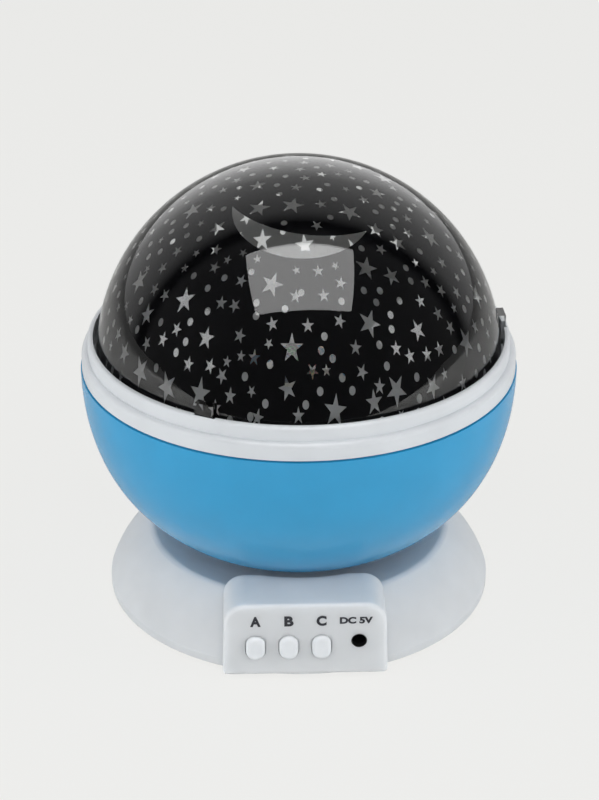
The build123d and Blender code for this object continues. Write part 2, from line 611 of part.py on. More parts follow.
# ---- Collar ------------------------------------------------------------------------------------
with BuildPart() as collar_ring:
    with BuildSketch(Plane.XZ) as collar_section:
        with BuildLine():
            Polyline(
                (COLLAR_LEDGE_R, COLLAR_Z),
                (COLLAR_LEDGE_R, LEDGE_Z),
                (LIP_R, LEDGE_Z),
                (LIP_R, COLLAR_TOP_Z),
                (COLLAR_HIGH_R, COLLAR_TOP_Z),
                (COLLAR_HIGH_R, COLLAR_STEP_Z),
                (COLLAR_LOW_R, COLLAR_STEP_Z),
                (COLLAR_LOW_R, COLLAR_Z),
                (BOWL_R - COLLAR_SEAM_DEPTH, COLLAR_Z),
                (BOWL_R - COLLAR_SEAM_DEPTH, BOWL_RIM_Z),
                (SPIGOT_R, BOWL_RIM_Z),
                (SPIGOT_R, BOWL_RIM_Z - SPIGOT_LENGTH),
                (SPIGOT_R - SPIGOT_WALL, BOWL_RIM_Z - SPIGOT_LENGTH),
                (SPIGOT_R - SPIGOT_WALL, COLLAR_Z),
                close=True,
            )
        make_face()
        high_edge = collar_section.vertices().sort_by_distance((COLLAR_HIGH_R, COLLAR_TOP_Z))[0]
        fillet(high_edge, COLLAR_HIGH_ROUND)
        low_edge = collar_section.vertices().sort_by_distance((COLLAR_LOW_R, COLLAR_STEP_Z))[0]
        fillet(low_edge, COLLAR_LOW_ROUND)
    revolve(axis=Axis.Z)
    with BuildSketch(Plane.XY.offset(DECK_TOP_Z)):
        with Locations(*[polar_spot(COLLAR_SCREW_R, a) for a in COLLAR_SCREW_ANGLES]):
            Circle(COLLAR_BOSS_R)
    extrude(amount=COLLAR_Z - DECK_TOP_Z)
    with BuildSketch(Plane.XY.offset(DECK_TOP_Z)):
        with Locations(*[polar_spot(COLLAR_SCREW_R, a) for a in COLLAR_SCREW_ANGLES]):
            Circle(SCREW_LARGE[0] + SCREW_CLEARANCE)
    extrude(amount=LEDGE_Z - DECK_TOP_Z, mode=Mode.SUBTRACT)
    with BuildSketch(Plane.XY.offset(LEDGE_Z)):
        with Locations(*[polar_spot(COLLAR_SCREW_R, a) for a in COLLAR_SCREW_ANGLES]):
            Circle(SCREW_LARGE[1] + SCREW_CLEARANCE)
    extrude(amount=-SCREW_LARGE[2] - SCREW_CLEARANCE, mode=Mode.SUBTRACT)
    with BuildSketch(Plane.XY.offset(LEDGE_Z)):
        for angle in KEY_ANGLES:
            reach = KEY_REACH + SPIGOT_GAP
            with Locations(Location((0, 0), angle)):
                with Locations((KEY_INNER_R, 0)):
                    notch = (reach - KEY_INNER_R, KEY_WIDTH + 2 * KEY_GAP)
                    Rectangle(*notch, align=(Align.MIN, Align.CENTER))
    extrude(amount=COLLAR_TOP_Z - LEDGE_Z, mode=Mode.SUBTRACT)
collar_ring.part.label = "collar_ring"
export_step(collar_ring.part, "parts/collar_ring.step")

with BuildPart() as collar_screws:
    for angle in COLLAR_SCREW_ANGLES:
        with Locations((*polar_spot(COLLAR_SCREW_R, angle), LEDGE_Z - SCREW_LARGE[2] - SCREW_CLEARANCE)):
            add(screw(SCREW_LARGE, COLLAR_SCREW_LENGTH))
collar_screws.part.label = "collar_screws"
export_step(collar_screws.part, "parts/collar_screws.step")

# ---- Deck under the dome -----------------------------------------------------------------------
with BuildPart() as inner_deck:
    with BuildSketch(Plane.XY.offset(DECK_Z)):
        Circle(DECK_R)
        with Locations(*[polar_spot(COLLAR_SCREW_R, a) for a in COLLAR_SCREW_ANGLES]):
            Circle(DECK_EAR_R)
        Circle(DECK_HOLE_R, mode=Mode.SUBTRACT)
        with Locations(*[polar_spot(COLLAR_SCREW_R, a) for a in COLLAR_SCREW_ANGLES]):
            Circle(SCREW_LARGE[0] + SCREW_CLEARANCE, mode=Mode.SUBTRACT)
    extrude(amount=DECK_THICK)
inner_deck.part.label = "inner_deck"
export_step(inner_deck.part, "parts/inner_deck.step")

# ---- Star dome ---------------------------------------------------------------------------------
with BuildPart() as star_dome:
    with Locations((0, 0, DOME_Z)):
        Sphere(DOME_R)
    for angle in KEY_ANGLES:
        with BuildSketch(Plane.XY.offset(LEDGE_Z).rotated((0, 0, angle))):
            with Locations((KEY_INNER_R, 0)):
                Rectangle(KEY_REACH - KEY_INNER_R, KEY_WIDTH, align=(Align.MIN, Align.CENTER))
        extrude(amount=COLLAR_TOP_Z + KEY_RISE - LEDGE_Z)
    with Locations((0, 0, DOME_Z)):
        Sphere(DOME_R - DOME_WALL, mode=Mode.SUBTRACT)
    split(bisect_by=Plane.XY.offset(LEDGE_Z), keep=Keep.TOP)
star_dome.part.label = "star_dome"
export_step(star_dome.part, "parts/star_dome.step")

# ---- Base housing ------------------------------------------------------------------------------
with BuildPart() as housing_room:
    with BuildSketch(Plane.XZ):
        add(base_section(BASE_WALL))
    revolve(axis=Axis.Z)
    with BuildSketch(upright(PANEL_BACK_Y)):
        add(box_section(BASE_WALL, BOX_CORNER_ROUND - BASE_WALL))
    extrude(amount=PANEL_BACK_Y + BALL_ROOM_R)
    with BuildSketch(Plane.XY.offset(CREST_Z - BASE_WALL)):
        Circle(BALL_ROOM_R + BASE_WALL)
    extrude(amount=BOX_TOP_Z, mode=Mode.SUBTRACT)
    with BuildSketch(Plane.XY.offset(PAD_Z)):
        Circle(PAD_R)
    extrude(amount=PAD_THICK, mode=Mode.SUBTRACT)
    with BuildSketch(Plane.XY.offset(PLATE_TOP_Z)):
        with Locations(*mirrored_spots(*BASE_SCREW_SPOT)):
            Circle(BASE_BOSS_R)
        with Locations(*DOOR_TAB_SPOTS):
            Circle(BASE_BOSS_R)
    extrude(amount=CREST_Z - PLATE_TOP_Z, mode=Mode.SUBTRACT)
    with BuildSketch(upright(PANEL_BACK_Y)):
        with Locations(*[(x, BOARD_SCREW_Z) for x in BOARD_SCREW_X]):
            Circle(BOARD_BOSS_R)
    extrude(amount=-BOARD_SETBACK, mode=Mode.SUBTRACT)

with BuildPart() as box_form:
    with BuildSketch(upright(BOX_FRONT_Y)):
        add(box_section(0, BOX_CORNER_ROUND))
    extrude(amount=BOX_FRONT_Y + BALL_ROOM_R - BASE_WALL)
    fillet(box_form.edges().filter_by(Axis.Y).group_by(Axis.Z)[0], BOX_FOOT_ROUND)
    fillet(box_form.faces().sort_by(Axis.Y)[0].edges(), BOX_EDGE_ROUND)
    with BuildSketch(Plane.XY.offset(CREST_Z - BASE_WALL)):
        Circle(BALL_ROOM_R)
    extrude(amount=BOX_TOP_Z, mode=Mode.SUBTRACT)
    with BuildSketch(Plane.XY.offset(BASE_BOTTOM_Z)):
        Circle(CREST_R - CREST_ROUND)
    extrude(amount=BOX_TOP_Z, mode=Mode.SUBTRACT)

with BuildPart() as base_housing:
    with BuildSketch(Plane.XZ):
        add(base_section(0))
    revolve(axis=Axis.Z)
    add(box_form.part)
    add(housing_room.part, mode=Mode.SUBTRACT)
    with BuildSketch(Plane.XY.offset(PAD_Z)):
        Circle(COLUMN_R + PLATFORM_GAP)
        with Locations(*[polar_spot(COLUMN_SCREW_R, a) for a in COLUMN_SCREW_ANGLES]):
            Circle(SCREW_LARGE[0])
    extrude(amount=PAD_THICK - PAD_SKIN, mode=Mode.SUBTRACT)
    with BuildSketch(Plane.XY.offset(PAD_Z)):
        Circle(COLUMN_R + PLATFORM_GAP)
    extrude(amount=PAD_THICK, mode=Mode.SUBTRACT)
    with BuildSketch(Plane.XY.offset(PLATE_TOP_Z)):
        with Locations(*mirrored_spots(*BASE_SCREW_SPOT)):
            Circle(SCREW_LARGE[0])
        with Locations(*DOOR_TAB_SPOTS):
            Circle(SCREW_DOOR[0] + DOOR_SCREW_GAP)
    extrude(amount=BASE_SCREW_PILOT, mode=Mode.SUBTRACT)
    with BuildSketch(upright(BOARD_Y)):
        with Locations(*[(x, BOARD_SCREW_Z) for x in BOARD_SCREW_X]):
            Circle(SCREW_SMALL[0])
    extrude(amount=BOARD_SCREW_LENGTH - BOARD_THICK, mode=Mode.SUBTRACT)
    with BuildSketch(upright(BOX_FRONT_Y)):
        with Locations(*[(x, BUTTON_Z) for x in BUTTON_X]):
            hole_w, hole_h = BUTTON_W + 2 * BUTTON_GAP, BUTTON_H + 2 * BUTTON_GAP
            RectangleRounded(hole_w, hole_h, BUTTON_CORNER + BUTTON_GAP)
        with Locations((JACK_X, JACK_Z)):
            Circle(JACK_HOLE_R)
    extrude(amount=-BASE_WALL, mode=Mode.SUBTRACT)
base_housing.part.label = "base_housing"
export_step(base_housing.part, "parts/base_housing.step")

# ---- Bottom plate with its battery bays --------------------------------------------------------
with BuildPart() as bottom_plate:
    with BuildSketch(Plane.XY.offset(BASE_BOTTOM_Z)):
        Circle(PLATE_R)
        with Locations((0, PANEL_BACK_Y + PLATE_GAP)):
            tongue = 2 * (BOX_HALF - BASE_WALL - 3 * PLATE_GAP)
            Rectangle(tongue, BOX_DEPTH, align=(Align.CENTER, Align.MIN))
    extrude(amount=PLATE_THICK)
    with BuildSketch(Plane.XY.offset(PLATE_TOP_Z)):
        with Locations((BAY_X, 0), (-BAY_X, 0)):
            Rectangle(BAY_W + 2 * BAY_WALL, BAY_L + 2 * BAY_WALL)
    extrude(amount=BAY_TOP_Z - PLATE_TOP_Z)
    with BuildSketch(Plane.XY.offset(BASE_BOTTOM_Z)):
        with Locations((BAY_X, 0), (-BAY_X, 0)):
            Rectangle(BAY_W, BAY_L)
    extrude(amount=BAY_TOP_Z, mode=Mode.SUBTRACT)
    with BuildSketch(Plane.XY.offset(BASE_BOTTOM_Z)):
        with Locations((BAY_X, 0), (-BAY_X, 0)):
            RectangleRounded(DOOR_W + 2 * DOOR_GAP, DOOR_L + 2 * DOOR_GAP, DOOR_CORNER)
        with Locations(*DOOR_TAB_SPOTS):
            Circle(DOOR_TAB_R + DOOR_GAP)
            Rectangle(
                2 * (DOOR_TAB_R + DOOR_GAP),
                DOOR_TAB_Y - DOOR_L / 2,
                align=(Align.CENTER, Align.MAX),
            )
    extrude(amount=DOOR_THICK, mode=Mode.SUBTRACT)
    with BuildSketch(Plane.XY.offset(DOOR_TOP_Z)):
        with Locations(*DOOR_TAB_SPOTS):
            Circle(SCREW_LARGE[0] + SCREW_CLEARANCE)
    extrude(amount=PLATE_THICK, mode=Mode.SUBTRACT)
    with BuildSketch(Plane.XY.offset(BASE_BOTTOM_Z)):
        with Locations(*FOOT_SPOTS):
            Circle(FOOT_R)
        with Locations(*mirrored_spots(*BASE_SCREW_SPOT)):
            Circle(SCREW_LARGE[1] + SCREW_CLEARANCE)
    extrude(amount=FOOT_SINK, mode=Mode.SUBTRACT)
    with BuildSketch(Plane.XY.offset(BASE_BOTTOM_Z)):
        with Locations(*mirrored_spots(*BASE_SCREW_SPOT)):
            Circle(SCREW_LARGE[0] + SCREW_CLEARANCE)
    extrude(amount=PLATE_THICK, mode=Mode.SUBTRACT)
bottom_plate.part.label = "bottom_plate"
export_step(bottom_plate.part, "parts/bottom_plate.step")

with BuildPart() as rubber_feet:
    with BuildSketch():
        with Locations(*FOOT_SPOTS):
            Circle(FOOT_R)
    extrude(amount=BASE_BOTTOM_Z + FOOT_SINK)
    fillet(rubber_feet.edges().group_by(Axis.Z)[0], FOOT_ROUND)
rubber_feet.part.label = "rubber_feet"
export_step(rubber_feet.part, "parts/rubber_feet.step")

with BuildPart() as base_screws:
    for x, y in mirrored_spots(*BASE_SCREW_SPOT):
        with Locations(Location((x, y, BASE_BOTTOM_Z + FOOT_SINK), (180, 0, 0))):
            add(screw(SCREW_LARGE, BASE_SCREW_LENGTH))
base_screws.part.label = "base_screws"
export_step(base_screws.part, "parts/base_screws.step")

# ---- Column and what holds it ------------------------------------------------------------------
with BuildPart() as centre_column:
    with BuildSketch(Plane.XY.offset(FLANGE_Z)):
        Circle(COLUMN_FLANGE_R)
        with Locations(*[polar_spot(COLUMN_SCREW_R, a) for a in COLUMN_SCREW_ANGLES]):
            Circle(SCREW_LARGE[0] + SCREW_CLEARANCE, mode=Mode.SUBTRACT)
    extrude(amount=COLUMN_FLANGE_T)
    with BuildSketch(Plane.XY.offset(FLANGE_Z)):
        Circle(COLUMN_R)
    extrude(amount=PLATFORM_Z - FLANGE_Z)
    with BuildSketch(Plane.XY.offset(PLATFORM_Z)):
        Circle(COLUMN_TOP_R)
    extrude(amount=COLUMN_TOP_Z - PLATFORM_Z)
    with BuildSketch(Plane.XY.offset(FLANGE_Z)):
        Circle(COLUMN_BORE_R)
    extrude(amount=COLUMN_TOP_Z - FLANGE_Z, mode=Mode.SUBTRACT)
    with BuildSketch(Plane.XY.offset(FLANGE_Z)):
        Circle(COLUMN_MOUTH_R)
    extrude(amount=COLUMN_FLANGE_T, mode=Mode.SUBTRACT)
    with BuildSketch(Plane.XY.offset(CLIP_Z)):
        Circle(COLUMN_R + GROOVE_DEPTH)
        Circle(COLUMN_R - GROOVE_DEPTH, mode=Mode.SUBTRACT)
    extrude(amount=CLIP_T, mode=Mode.SUBTRACT)
    with BuildSketch(Plane.XY.offset(PLATFORM_CLIP_Z)):
        Circle(COLUMN_TOP_R + GROOVE_DEPTH)
        Circle(COLUMN_TOP_R - GROOVE_DEPTH, mode=Mode.SUBTRACT)
    extrude(amount=CLIP_T, mode=Mode.SUBTRACT)
    with BuildSketch(Plane.XY.offset(PLATFORM_CLIP_Z + 2 * CLIP_T)):
        with Locations((COLUMN_TOP_R, 0)):
            SlotCenterToCenter(2 * COLUMN_TOP_R - COLUMN_BORE_R, LEAD_SLOT_W)
    extrude(amount=LEAD_SLOT_H, mode=Mode.SUBTRACT)
centre_column.part.label = "centre_column"
export_step(centre_column.part, "parts/centre_column.step")

with BuildPart() as column_screws:
    for angle in COLUMN_SCREW_ANGLES:
        with Locations(Location((*polar_spot(COLUMN_SCREW_R, angle), FLANGE_Z), (180, 0, 0))):
            add(screw(SCREW_LARGE, COLUMN_FLANGE_T + PAD_THICK - PAD_SKIN - PILOT_SPARE))
column_screws.part.label = "column_screws"
export_step(column_screws.part, "parts/column_screws.step")

with BuildPart() as thrust_washer:
    with BuildSketch(Plane.XY.offset(WASHER_Z)):
        Circle(WASHER_R)
        Circle(COLUMN_R + PLATFORM_GAP, mode=Mode.SUBTRACT)
    extrude(amount=WASHER_T)
thrust_washer.part.label = "thrust_washer"
export_step(thrust_washer.part, "parts/thrust_washer.step")

with BuildPart() as bush_clip:
    with BuildSketch(Plane.XY.offset(CLIP_Z)):
        add(clip_outline(COLUMN_R - GROOVE_DEPTH, CLIP_R))
    extrude(amount=CLIP_T)
bush_clip.part.label = "bush_clip"
export_step(bush_clip.part, "parts/bush_clip.step")

with BuildPart() as platform_clip:
    with BuildSketch(Plane.XY.offset(PLATFORM_CLIP_Z)):
        add(clip_outline(COLUMN_TOP_R - GROOVE_DEPTH, COLUMN_TOP_R + CLIP_REACH))
    extrude(amount=CLIP_T)
platform_clip.part.label = "platform_clip"
export_step(platform_clip.part, "parts/platform_clip.step")

# ---- Motor and its platform --------------------------------------------------------------------
with BuildPart() as motor_platform:
    with BuildSketch(Plane.XY.offset(PLATFORM_Z)) as platform_outline:
        Circle(PLATFORM_R)
        with Locations((PINION_X, 0)):
            Circle(PLATFORM_ARM_R)
        make_hull()
        Circle(COLUMN_TOP_R + PLATFORM_GAP, mode=Mode.SUBTRACT)
        with Locations((PINION_X, 0)):
            Circle(MOTOR_BOSS_R + PLATFORM_GAP, mode=Mode.SUBTRACT)
        with Locations((PINION_X - MOTOR_SCREW_X, 0), (PINION_X + MOTOR_SCREW_X, 0)):
            Circle(SCREW_TINY[0] + PLATFORM_GAP, mode=Mode.SUBTRACT)
    extrude(amount=PLATFORM_T)
    with BuildSketch(Plane.XY.offset(GEARBOX_Z)):
        Circle(PLATFORM_HUB_R)
        Circle(COLUMN_TOP_R + PLATFORM_GAP, mode=Mode.SUBTRACT)
    extrude(amount=PLATFORM_CLIP_Z - GEARBOX_Z)
motor_platform.part.label = "motor_platform"
export_step(motor_platform.part, "parts/motor_platform.step")

with BuildPart() as gearbox_case:
    with BuildSketch(Plane.XY.offset(GEARBOX_Z)):
        with Locations((PINION_X, 0)):
            Rectangle(MOTOR_W, MOTOR_D)
    extrude(amount=GEARBOX_H)
    with BuildSketch(Plane.XY.offset(GEARBOX_Z - MOTOR_BOSS_H)):
        with Locations((PINION_X, 0)):
            Circle(MOTOR_BOSS_R)
    extrude(amount=MOTOR_BOSS_H)
    with BuildSketch(Plane.XY.offset(GEARBOX_Z - MOTOR_BOSS_H)):
        with Locations((PINION_X, 0)):
            Circle(MOTOR_SHAFT_R + SHAFT_GAP)
    extrude(amount=MOTOR_BOSS_H + SHAFT_SEAT + PLATFORM_GAP, mode=Mode.SUBTRACT)
    with BuildSketch(Plane.XY.offset(GEARBOX_Z)):
        with Locations((PINION_X - MOTOR_SCREW_X, 0), (PINION_X + MOTOR_SCREW_X, 0)):
            Circle(SCREW_TINY[0])
    extrude(amount=MOTOR_SCREW_LENGTH - PLATFORM_T, mode=Mode.SUBTRACT)
gearbox_case.part.label = "gearbox_case"
export_step(gearbox_case.part, "parts/gearbox_case.step")

with BuildPart() as motor_can:
    with BuildSketch(Plane.XY.offset(MOTOR_Z)):
        with Locations((PINION_X, 0)):
            Circle(MOTOR_W / 2)
            Rectangle(MOTOR_W, MOTOR_D, mode=Mode.INTERSECT)
    extrude(amount=MOTOR_H)
    with BuildSketch(Plane.XY.offset(MOTOR_Z + MOTOR_H)):
        with Locations((PINION_X, 0)):
            Circle(MOTOR_BOSS_R)
    extrude(amount=MOTOR_BOSS_H)
motor_can.part.label = "motor_can"
export_step(motor_can.part, "parts/motor_can.step")

with BuildPart() as motor_screws:
    for x in (PINION_X - MOTOR_SCREW_X, PINION_X + MOTOR_SCREW_X):
        with Locations(Location((x, 0, PLATFORM_Z), (180, 0, 0))):
            add(screw(SCREW_TINY, MOTOR_SCREW_LENGTH))
motor_screws.part.label = "motor_screws"
export_step(motor_screws.part, "parts/motor_screws.step")

# ---- Lamps -------------------------------------------------------------------------------------
with BuildPart() as lamp_holder:
    with BuildSketch(Plane.XY.offset(COLUMN_TOP_Z - LAMP_SPIGOT)):
        Circle(COLUMN_BORE_R)
    extrude(amount=LAMP_SPIGOT)
    with BuildSketch(Plane.XY.offset(COLUMN_TOP_Z)):
        Circle(LAMP_DISC_R)
    extrude(amount=LAMP_DISC_T)
    with BuildSketch(Plane.XY.offset(COLUMN_TOP_Z - LAMP_SPIGOT)):
        Circle(LAMP_CABLE_R)
    extrude(amount=LAMP_SPIGOT + LAMP_DISC_T, mode=Mode.SUBTRACT)
    with BuildSketch(Plane.XY.offset(COLUMN_TOP_Z)):
        with Locations((0, LAMP_SCREW_R), (0, -LAMP_SCREW_R)):
            Circle(SCREW_SMALL[0])
    extrude(amount=LAMP_DISC_T, mode=Mode.SUBTRACT)
lamp_holder.part.label = "lamp_holder"
export_step(lamp_holder.part, "parts/lamp_holder.step")

with BuildPart() as lamp_board:
    with BuildSketch(Plane.XY.offset(LAMP_BOARD_Z)):
        Circle(LAMP_BOARD_R)
        with Locations((0, LAMP_SCREW_R), (0, -LAMP_SCREW_R)):
            Circle(SCREW_SMALL[0] + PLATFORM_GAP, mode=Mode.SUBTRACT)
    extrude(amount=LAMP_BOARD_T)
lamp_board.part.label = "lamp_board"
export_step(lamp_board.part, "parts/lamp_board.step")

with BuildPart() as lamp_screws:
    for y in (LAMP_SCREW_R, -LAMP_SCREW_R):
        with Locations((0, y, LED_Z)):
            add(screw(SCREW_SMALL, LAMP_BOARD_T + LAMP_DISC_T))
lamp_screws.part.label = "lamp_screws"
export_step(lamp_screws.part, "parts/lamp_screws.step")

for led_name, angle in LED_ANGLES.items():
    with BuildPart() as led:
        with BuildSketch(Plane.XY.offset(LED_Z)):
            with Locations(polar_spot(LED_RING_R, angle)):
                Circle(LED_FLANGE_R)
        extrude(amount=LED_FLANGE_T)
        with BuildSketch(Plane.XY.offset(LED_Z + LED_FLANGE_T)):
            with Locations(polar_spot(LED_RING_R, angle)):
                Circle(LED_R)
        extrude(amount=LED_BODY)
        with Locations((*polar_spot(LED_RING_R, angle), LED_Z + LED_FLANGE_T + LED_BODY)):
            Sphere(LED_R)
    led.part.label = led_name
    export_step(led.part, "parts/" + led_name + ".step")

# ---- Control board, buttons and jack -----------------------------------------------------------
with BuildPart() as control_board:
    with BuildSketch(upright(BOARD_Y)) as board_outline:
        with Locations((0, BOARD_Z0)):
            Rectangle(2 * BOARD_HALF, BOARD_Z1 - BOARD_Z0, align=(Align.CENTER, Align.MIN))
        chamfer(board_outline.vertices().group_by(Axis.Y)[-1], BOARD_CORNER)
        with Locations((JACK_X, JACK_Z)):
            Rectangle(JACK_BODY_W, JACK_BODY_H, mode=Mode.SUBTRACT)
        with Locations(*[(x, BOARD_SCREW_Z) for x in BOARD_SCREW_X]):
            Circle(SCREW_SMALL[0] + PLATFORM_GAP, mode=Mode.SUBTRACT)
    extrude(amount=-BOARD_THICK)
control_board.part.label = "control_board"
export_step(control_board.part, "parts/control_board.step")

with BuildPart() as board_screws:
    for x in BOARD_SCREW_X:
        with Locations(Location((x, BOARD_Y + BOARD_THICK, BOARD_SCREW_Z), (-90, 0, 0))):
            add(screw(SCREW_SMALL, BOARD_SCREW_LENGTH))
board_screws.part.label = "board_screws"
export_step(board_screws.part, "parts/board_screws.step")

with BuildPart() as tact_switches:
    with BuildSketch(upright(SWITCH_Y)):
        with Locations(*[(x, BUTTON_Z) for x in BUTTON_X]):
            Rectangle(SWITCH_SIDE, SWITCH_SIDE)
    extrude(amount=-SWITCH_DEPTH)
    with BuildSketch(upright(SWITCH_Y)):
        with Locations(*[(x, BUTTON_Z) for x in BUTTON_X]):
            Circle(PLUNGER_R + PLUNGER_GAP)
    extrude(amount=-PLUNGER_SINK - BUTTON_TRAVEL - PLUNGER_END_GAP, mode=Mode.SUBTRACT)
tact_switches.part.label = "tact_switches"
export_step(tact_switches.part, "parts/tact_switches.step")

for letter, x in zip("abc", BUTTON_X):
    with BuildPart() as button:
        with BuildSketch(upright(BOX_FRONT_Y - BUTTON_PROUD)):
            with Locations((x, BUTTON_Z)):
                RectangleRounded(BUTTON_W, BUTTON_H, BUTTON_CORNER)
        extrude(amount=BOX_FRONT_Y - BUTTON_PROUD - FLANGE_Y)
        fillet(button.edges().group_by(Axis.Y)[0], BUTTON_ROUND)
        with BuildSketch(upright(FLANGE_Y)):
            with Locations((x, BUTTON_Z)):
                RectangleRounded(
                    BUTTON_W + 2 * BUTTON_GAP + 2 * BUTTON_FLANGE,
                    BUTTON_H + 2 * BUTTON_GAP + 2 * BUTTON_FLANGE,
                    BUTTON_CORNER,
                )
        extrude(amount=-BUTTON_FLANGE_T)
    button.part.label = "button_" + letter
    export_step(button.part, "parts/button_" + letter + ".step")
    with BuildPart() as plunger:
        with BuildSketch(upright(PLUNGER_Y)):
            with Locations((x, BUTTON_Z)):
                Circle(PLUNGER_R)
        extrude(amount=PLUNGER_Y - SWITCH_Y - PLUNGER_SINK)
    plunger.part.label = "switch_plunger_" + letter
    export_step(plunger.part, "parts/switch_plunger_" + letter + ".step")

with BuildPart() as power_jack:
    with BuildSketch(upright(PANEL_BACK_Y)):
        with Locations((JACK_X, JACK_Z)):
            Rectangle(JACK_BODY_W, JACK_BODY_H)
    extrude(amount=-JACK_BODY_L)
    with BuildSketch(upright(BOARD_Y - JACK_EAR)):
        with Locations((JACK_X, JACK_Z)):
            Rectangle(JACK_BODY_W, JACK_BODY_H + 2 * JACK_EAR)
    extrude(amount=-JACK_EAR)
    with BuildSketch(upright(PANEL_BACK_Y)):
        with Locations((JACK_X, JACK_Z)):
            Circle(JACK_SOCKET_R)
    extrude(amount=JACK_FLOOR - JACK_BODY_L, mode=Mode.SUBTRACT)
power_jack.part.label = "power_jack"
export_step(power_jack.part, "parts/power_jack.step")

with BuildPart() as jack_pin:
    with BuildSketch(upright(PANEL_BACK_Y + JACK_PIN_RECESS)):
        with Locations((JACK_X, JACK_Z)):
            Circle(JACK_PIN_R)
    extrude(amount=JACK_PIN_RECESS + JACK_FLOOR - JACK_BODY_L)
    fillet(jack_pin.edges().group_by(Axis.Y)[0], JACK_PIN_R / 2)
jack_pin.part.label = "jack_pin"
export_step(jack_pin.part, "parts/jack_pin.step")

# ---- Batteries, contacts and doors -------------------------------------------------------------
cell_places = [
    (side * BAY_X + step * CELL_PITCH / 2, side * step) for side in (-1, 1) for step in (-1, 1)
]
with BuildPart() as battery_cells:
    for x, way in cell_places:
        with BuildSketch(upright(-way * CELL_LENGTH / 2)):
            with Locations((x, CELL_Z)):
                Circle(CELL_R)
        extrude(amount=-way * (CELL_LENGTH - CELL_NUB))
        with BuildSketch(upright(way * (CELL_LENGTH / 2 - CELL_NUB))):
            with Locations((x, CELL_Z)):
                Circle(CELL_NUB_R)
        extrude(amount=-way * CELL_NUB)
battery_cells.part.label = "battery_cells"
export_step(battery_cells.part, "parts/battery_cells.step")

with BuildPart() as contact_springs:
    for x, way in cell_places:
        wall_y = -way * BAY_L / 2
        cell_y = -way * CELL_LENGTH / 2
        with BuildSketch(Plane.YZ.offset(x - CONTACT_W / 2)):
            with BuildLine():
                Polyline(
                    (wall_y, CELL_Z - CONTACT_H / 2),
                    (wall_y, CELL_Z + CONTACT_H / 2),
                    (wall_y + way * CONTACT_THICK, CELL_Z + CONTACT_H / 2),
                    (cell_y, CELL_Z + CONTACT_THICK),
                    (cell_y, CELL_Z - CONTACT_THICK),
                    (wall_y + way * 3 * CONTACT_THICK, CELL_Z - CONTACT_H / 2),
                    (wall_y + way * 2 * CONTACT_THICK, CELL_Z - CONTACT_H / 2),
                    (cell_y - way * CONTACT_THICK, CELL_Z),
                    (wall_y + way * CONTACT_THICK, CELL_Z + CONTACT_H / 2 - 2 * CONTACT_THICK),
                    (wall_y + way * CONTACT_THICK, CELL_Z - CONTACT_H / 2),
                    close=True,
                )
            make_face()
        extrude(amount=CONTACT_W)
contact_springs.part.label = "contact_springs"
export_step(contact_springs.part, "parts/contact_springs.step")

with BuildPart() as contact_plates:
    for x, way in cell_places:
        with BuildSketch(upright(way * BAY_L / 2)):
            with Locations((x, CELL_Z)):
                Rectangle(CONTACT_W, CONTACT_H)
        extrude(amount=way * CONTACT_THICK)
        with BuildSketch(upright(way * (BAY_L / 2 - CONTACT_THICK))):
            with Locations((x, CELL_Z)):
                Circle(CELL_NUB_R + CONTACT_THICK)
        extrude(amount=way * (BAY_L / 2 - CONTACT_THICK - CELL_LENGTH / 2))
contact_plates.part.label = "contact_plates"
export_step(contact_plates.part, "parts/contact_plates.step")

for side_name, side in (("left", -1), ("right", 1)):
    with BuildPart() as door:
        with BuildSketch(Plane.XY.offset(BASE_BOTTOM_Z)):
            with Locations((side * BAY_X, 0)):
                RectangleRounded(DOOR_W, DOOR_L, DOOR_CORNER)
            with Locations((side * DOOR_TAB_X, DOOR_TAB_Y)):
                tab_length = DOOR_TAB_Y - DOOR_L / 2 + DOOR_CORNER
                Circle(DOOR_TAB_R)
                Rectangle(2 * DOOR_TAB_R, tab_length, align=(Align.CENTER, Align.MAX))
                Circle(SCREW_DOOR[0], mode=Mode.SUBTRACT)
        extrude(amount=DOOR_THICK)
        with BuildSketch(Plane.XY.offset(BASE_BOTTOM_Z)):
            grip_y = DOOR_GRIP_FROM_END - DOOR_L / 2
            for step in range(DOOR_GRIP_COUNT):
                with Locations((side * BAY_X, grip_y + DOOR_GRIP_PITCH * step)):
                    Rectangle(DOOR_W / 2, DOOR_GRIP_W)
        extrude(amount=DOOR_GRIP_DEPTH, mode=Mode.SUBTRACT)
    door.part.label = "battery_door_" + side_name
    export_step(door.part, "parts/battery_door_" + side_name + ".step")
    with BuildPart() as door_screw:
        with Locations(Location((side * DOOR_TAB_X, DOOR_TAB_Y, BASE_BOTTOM_Z), (180, 0, 0))):
            add(screw(SCREW_DOOR, DOOR_SCREW_LENGTH))
    door_screw.part.label = "door_screw_" + side_name
    export_step(door_screw.part, "parts/door_screw_" + side_name + ".step")

# ---- Leads inside ------------------------------------------------------------------------------
with BuildPart() as lamp_cable:
    route = [
        (-4.0, BOARD_Y + BOARD_THICK, 6.2),
        (-4.0, -41.0, 6.2),
        (-3.2, -29.0, 5.0),
        (-2.2, -14.5, 5.2),
        (-1.4, 0.0, 4.9),
        (-1.6, 0.5, 19.0),
        (-0.3, -0.2, 45.0),
        (-0.3, -0.2, LAMP_BOARD_Z),
    ]
    add(lead(route, LAMP_CABLE_OD))
lamp_cable.part.label = "lamp_cable"
export_step(lamp_cable.part, "parts/lamp_cable.step")

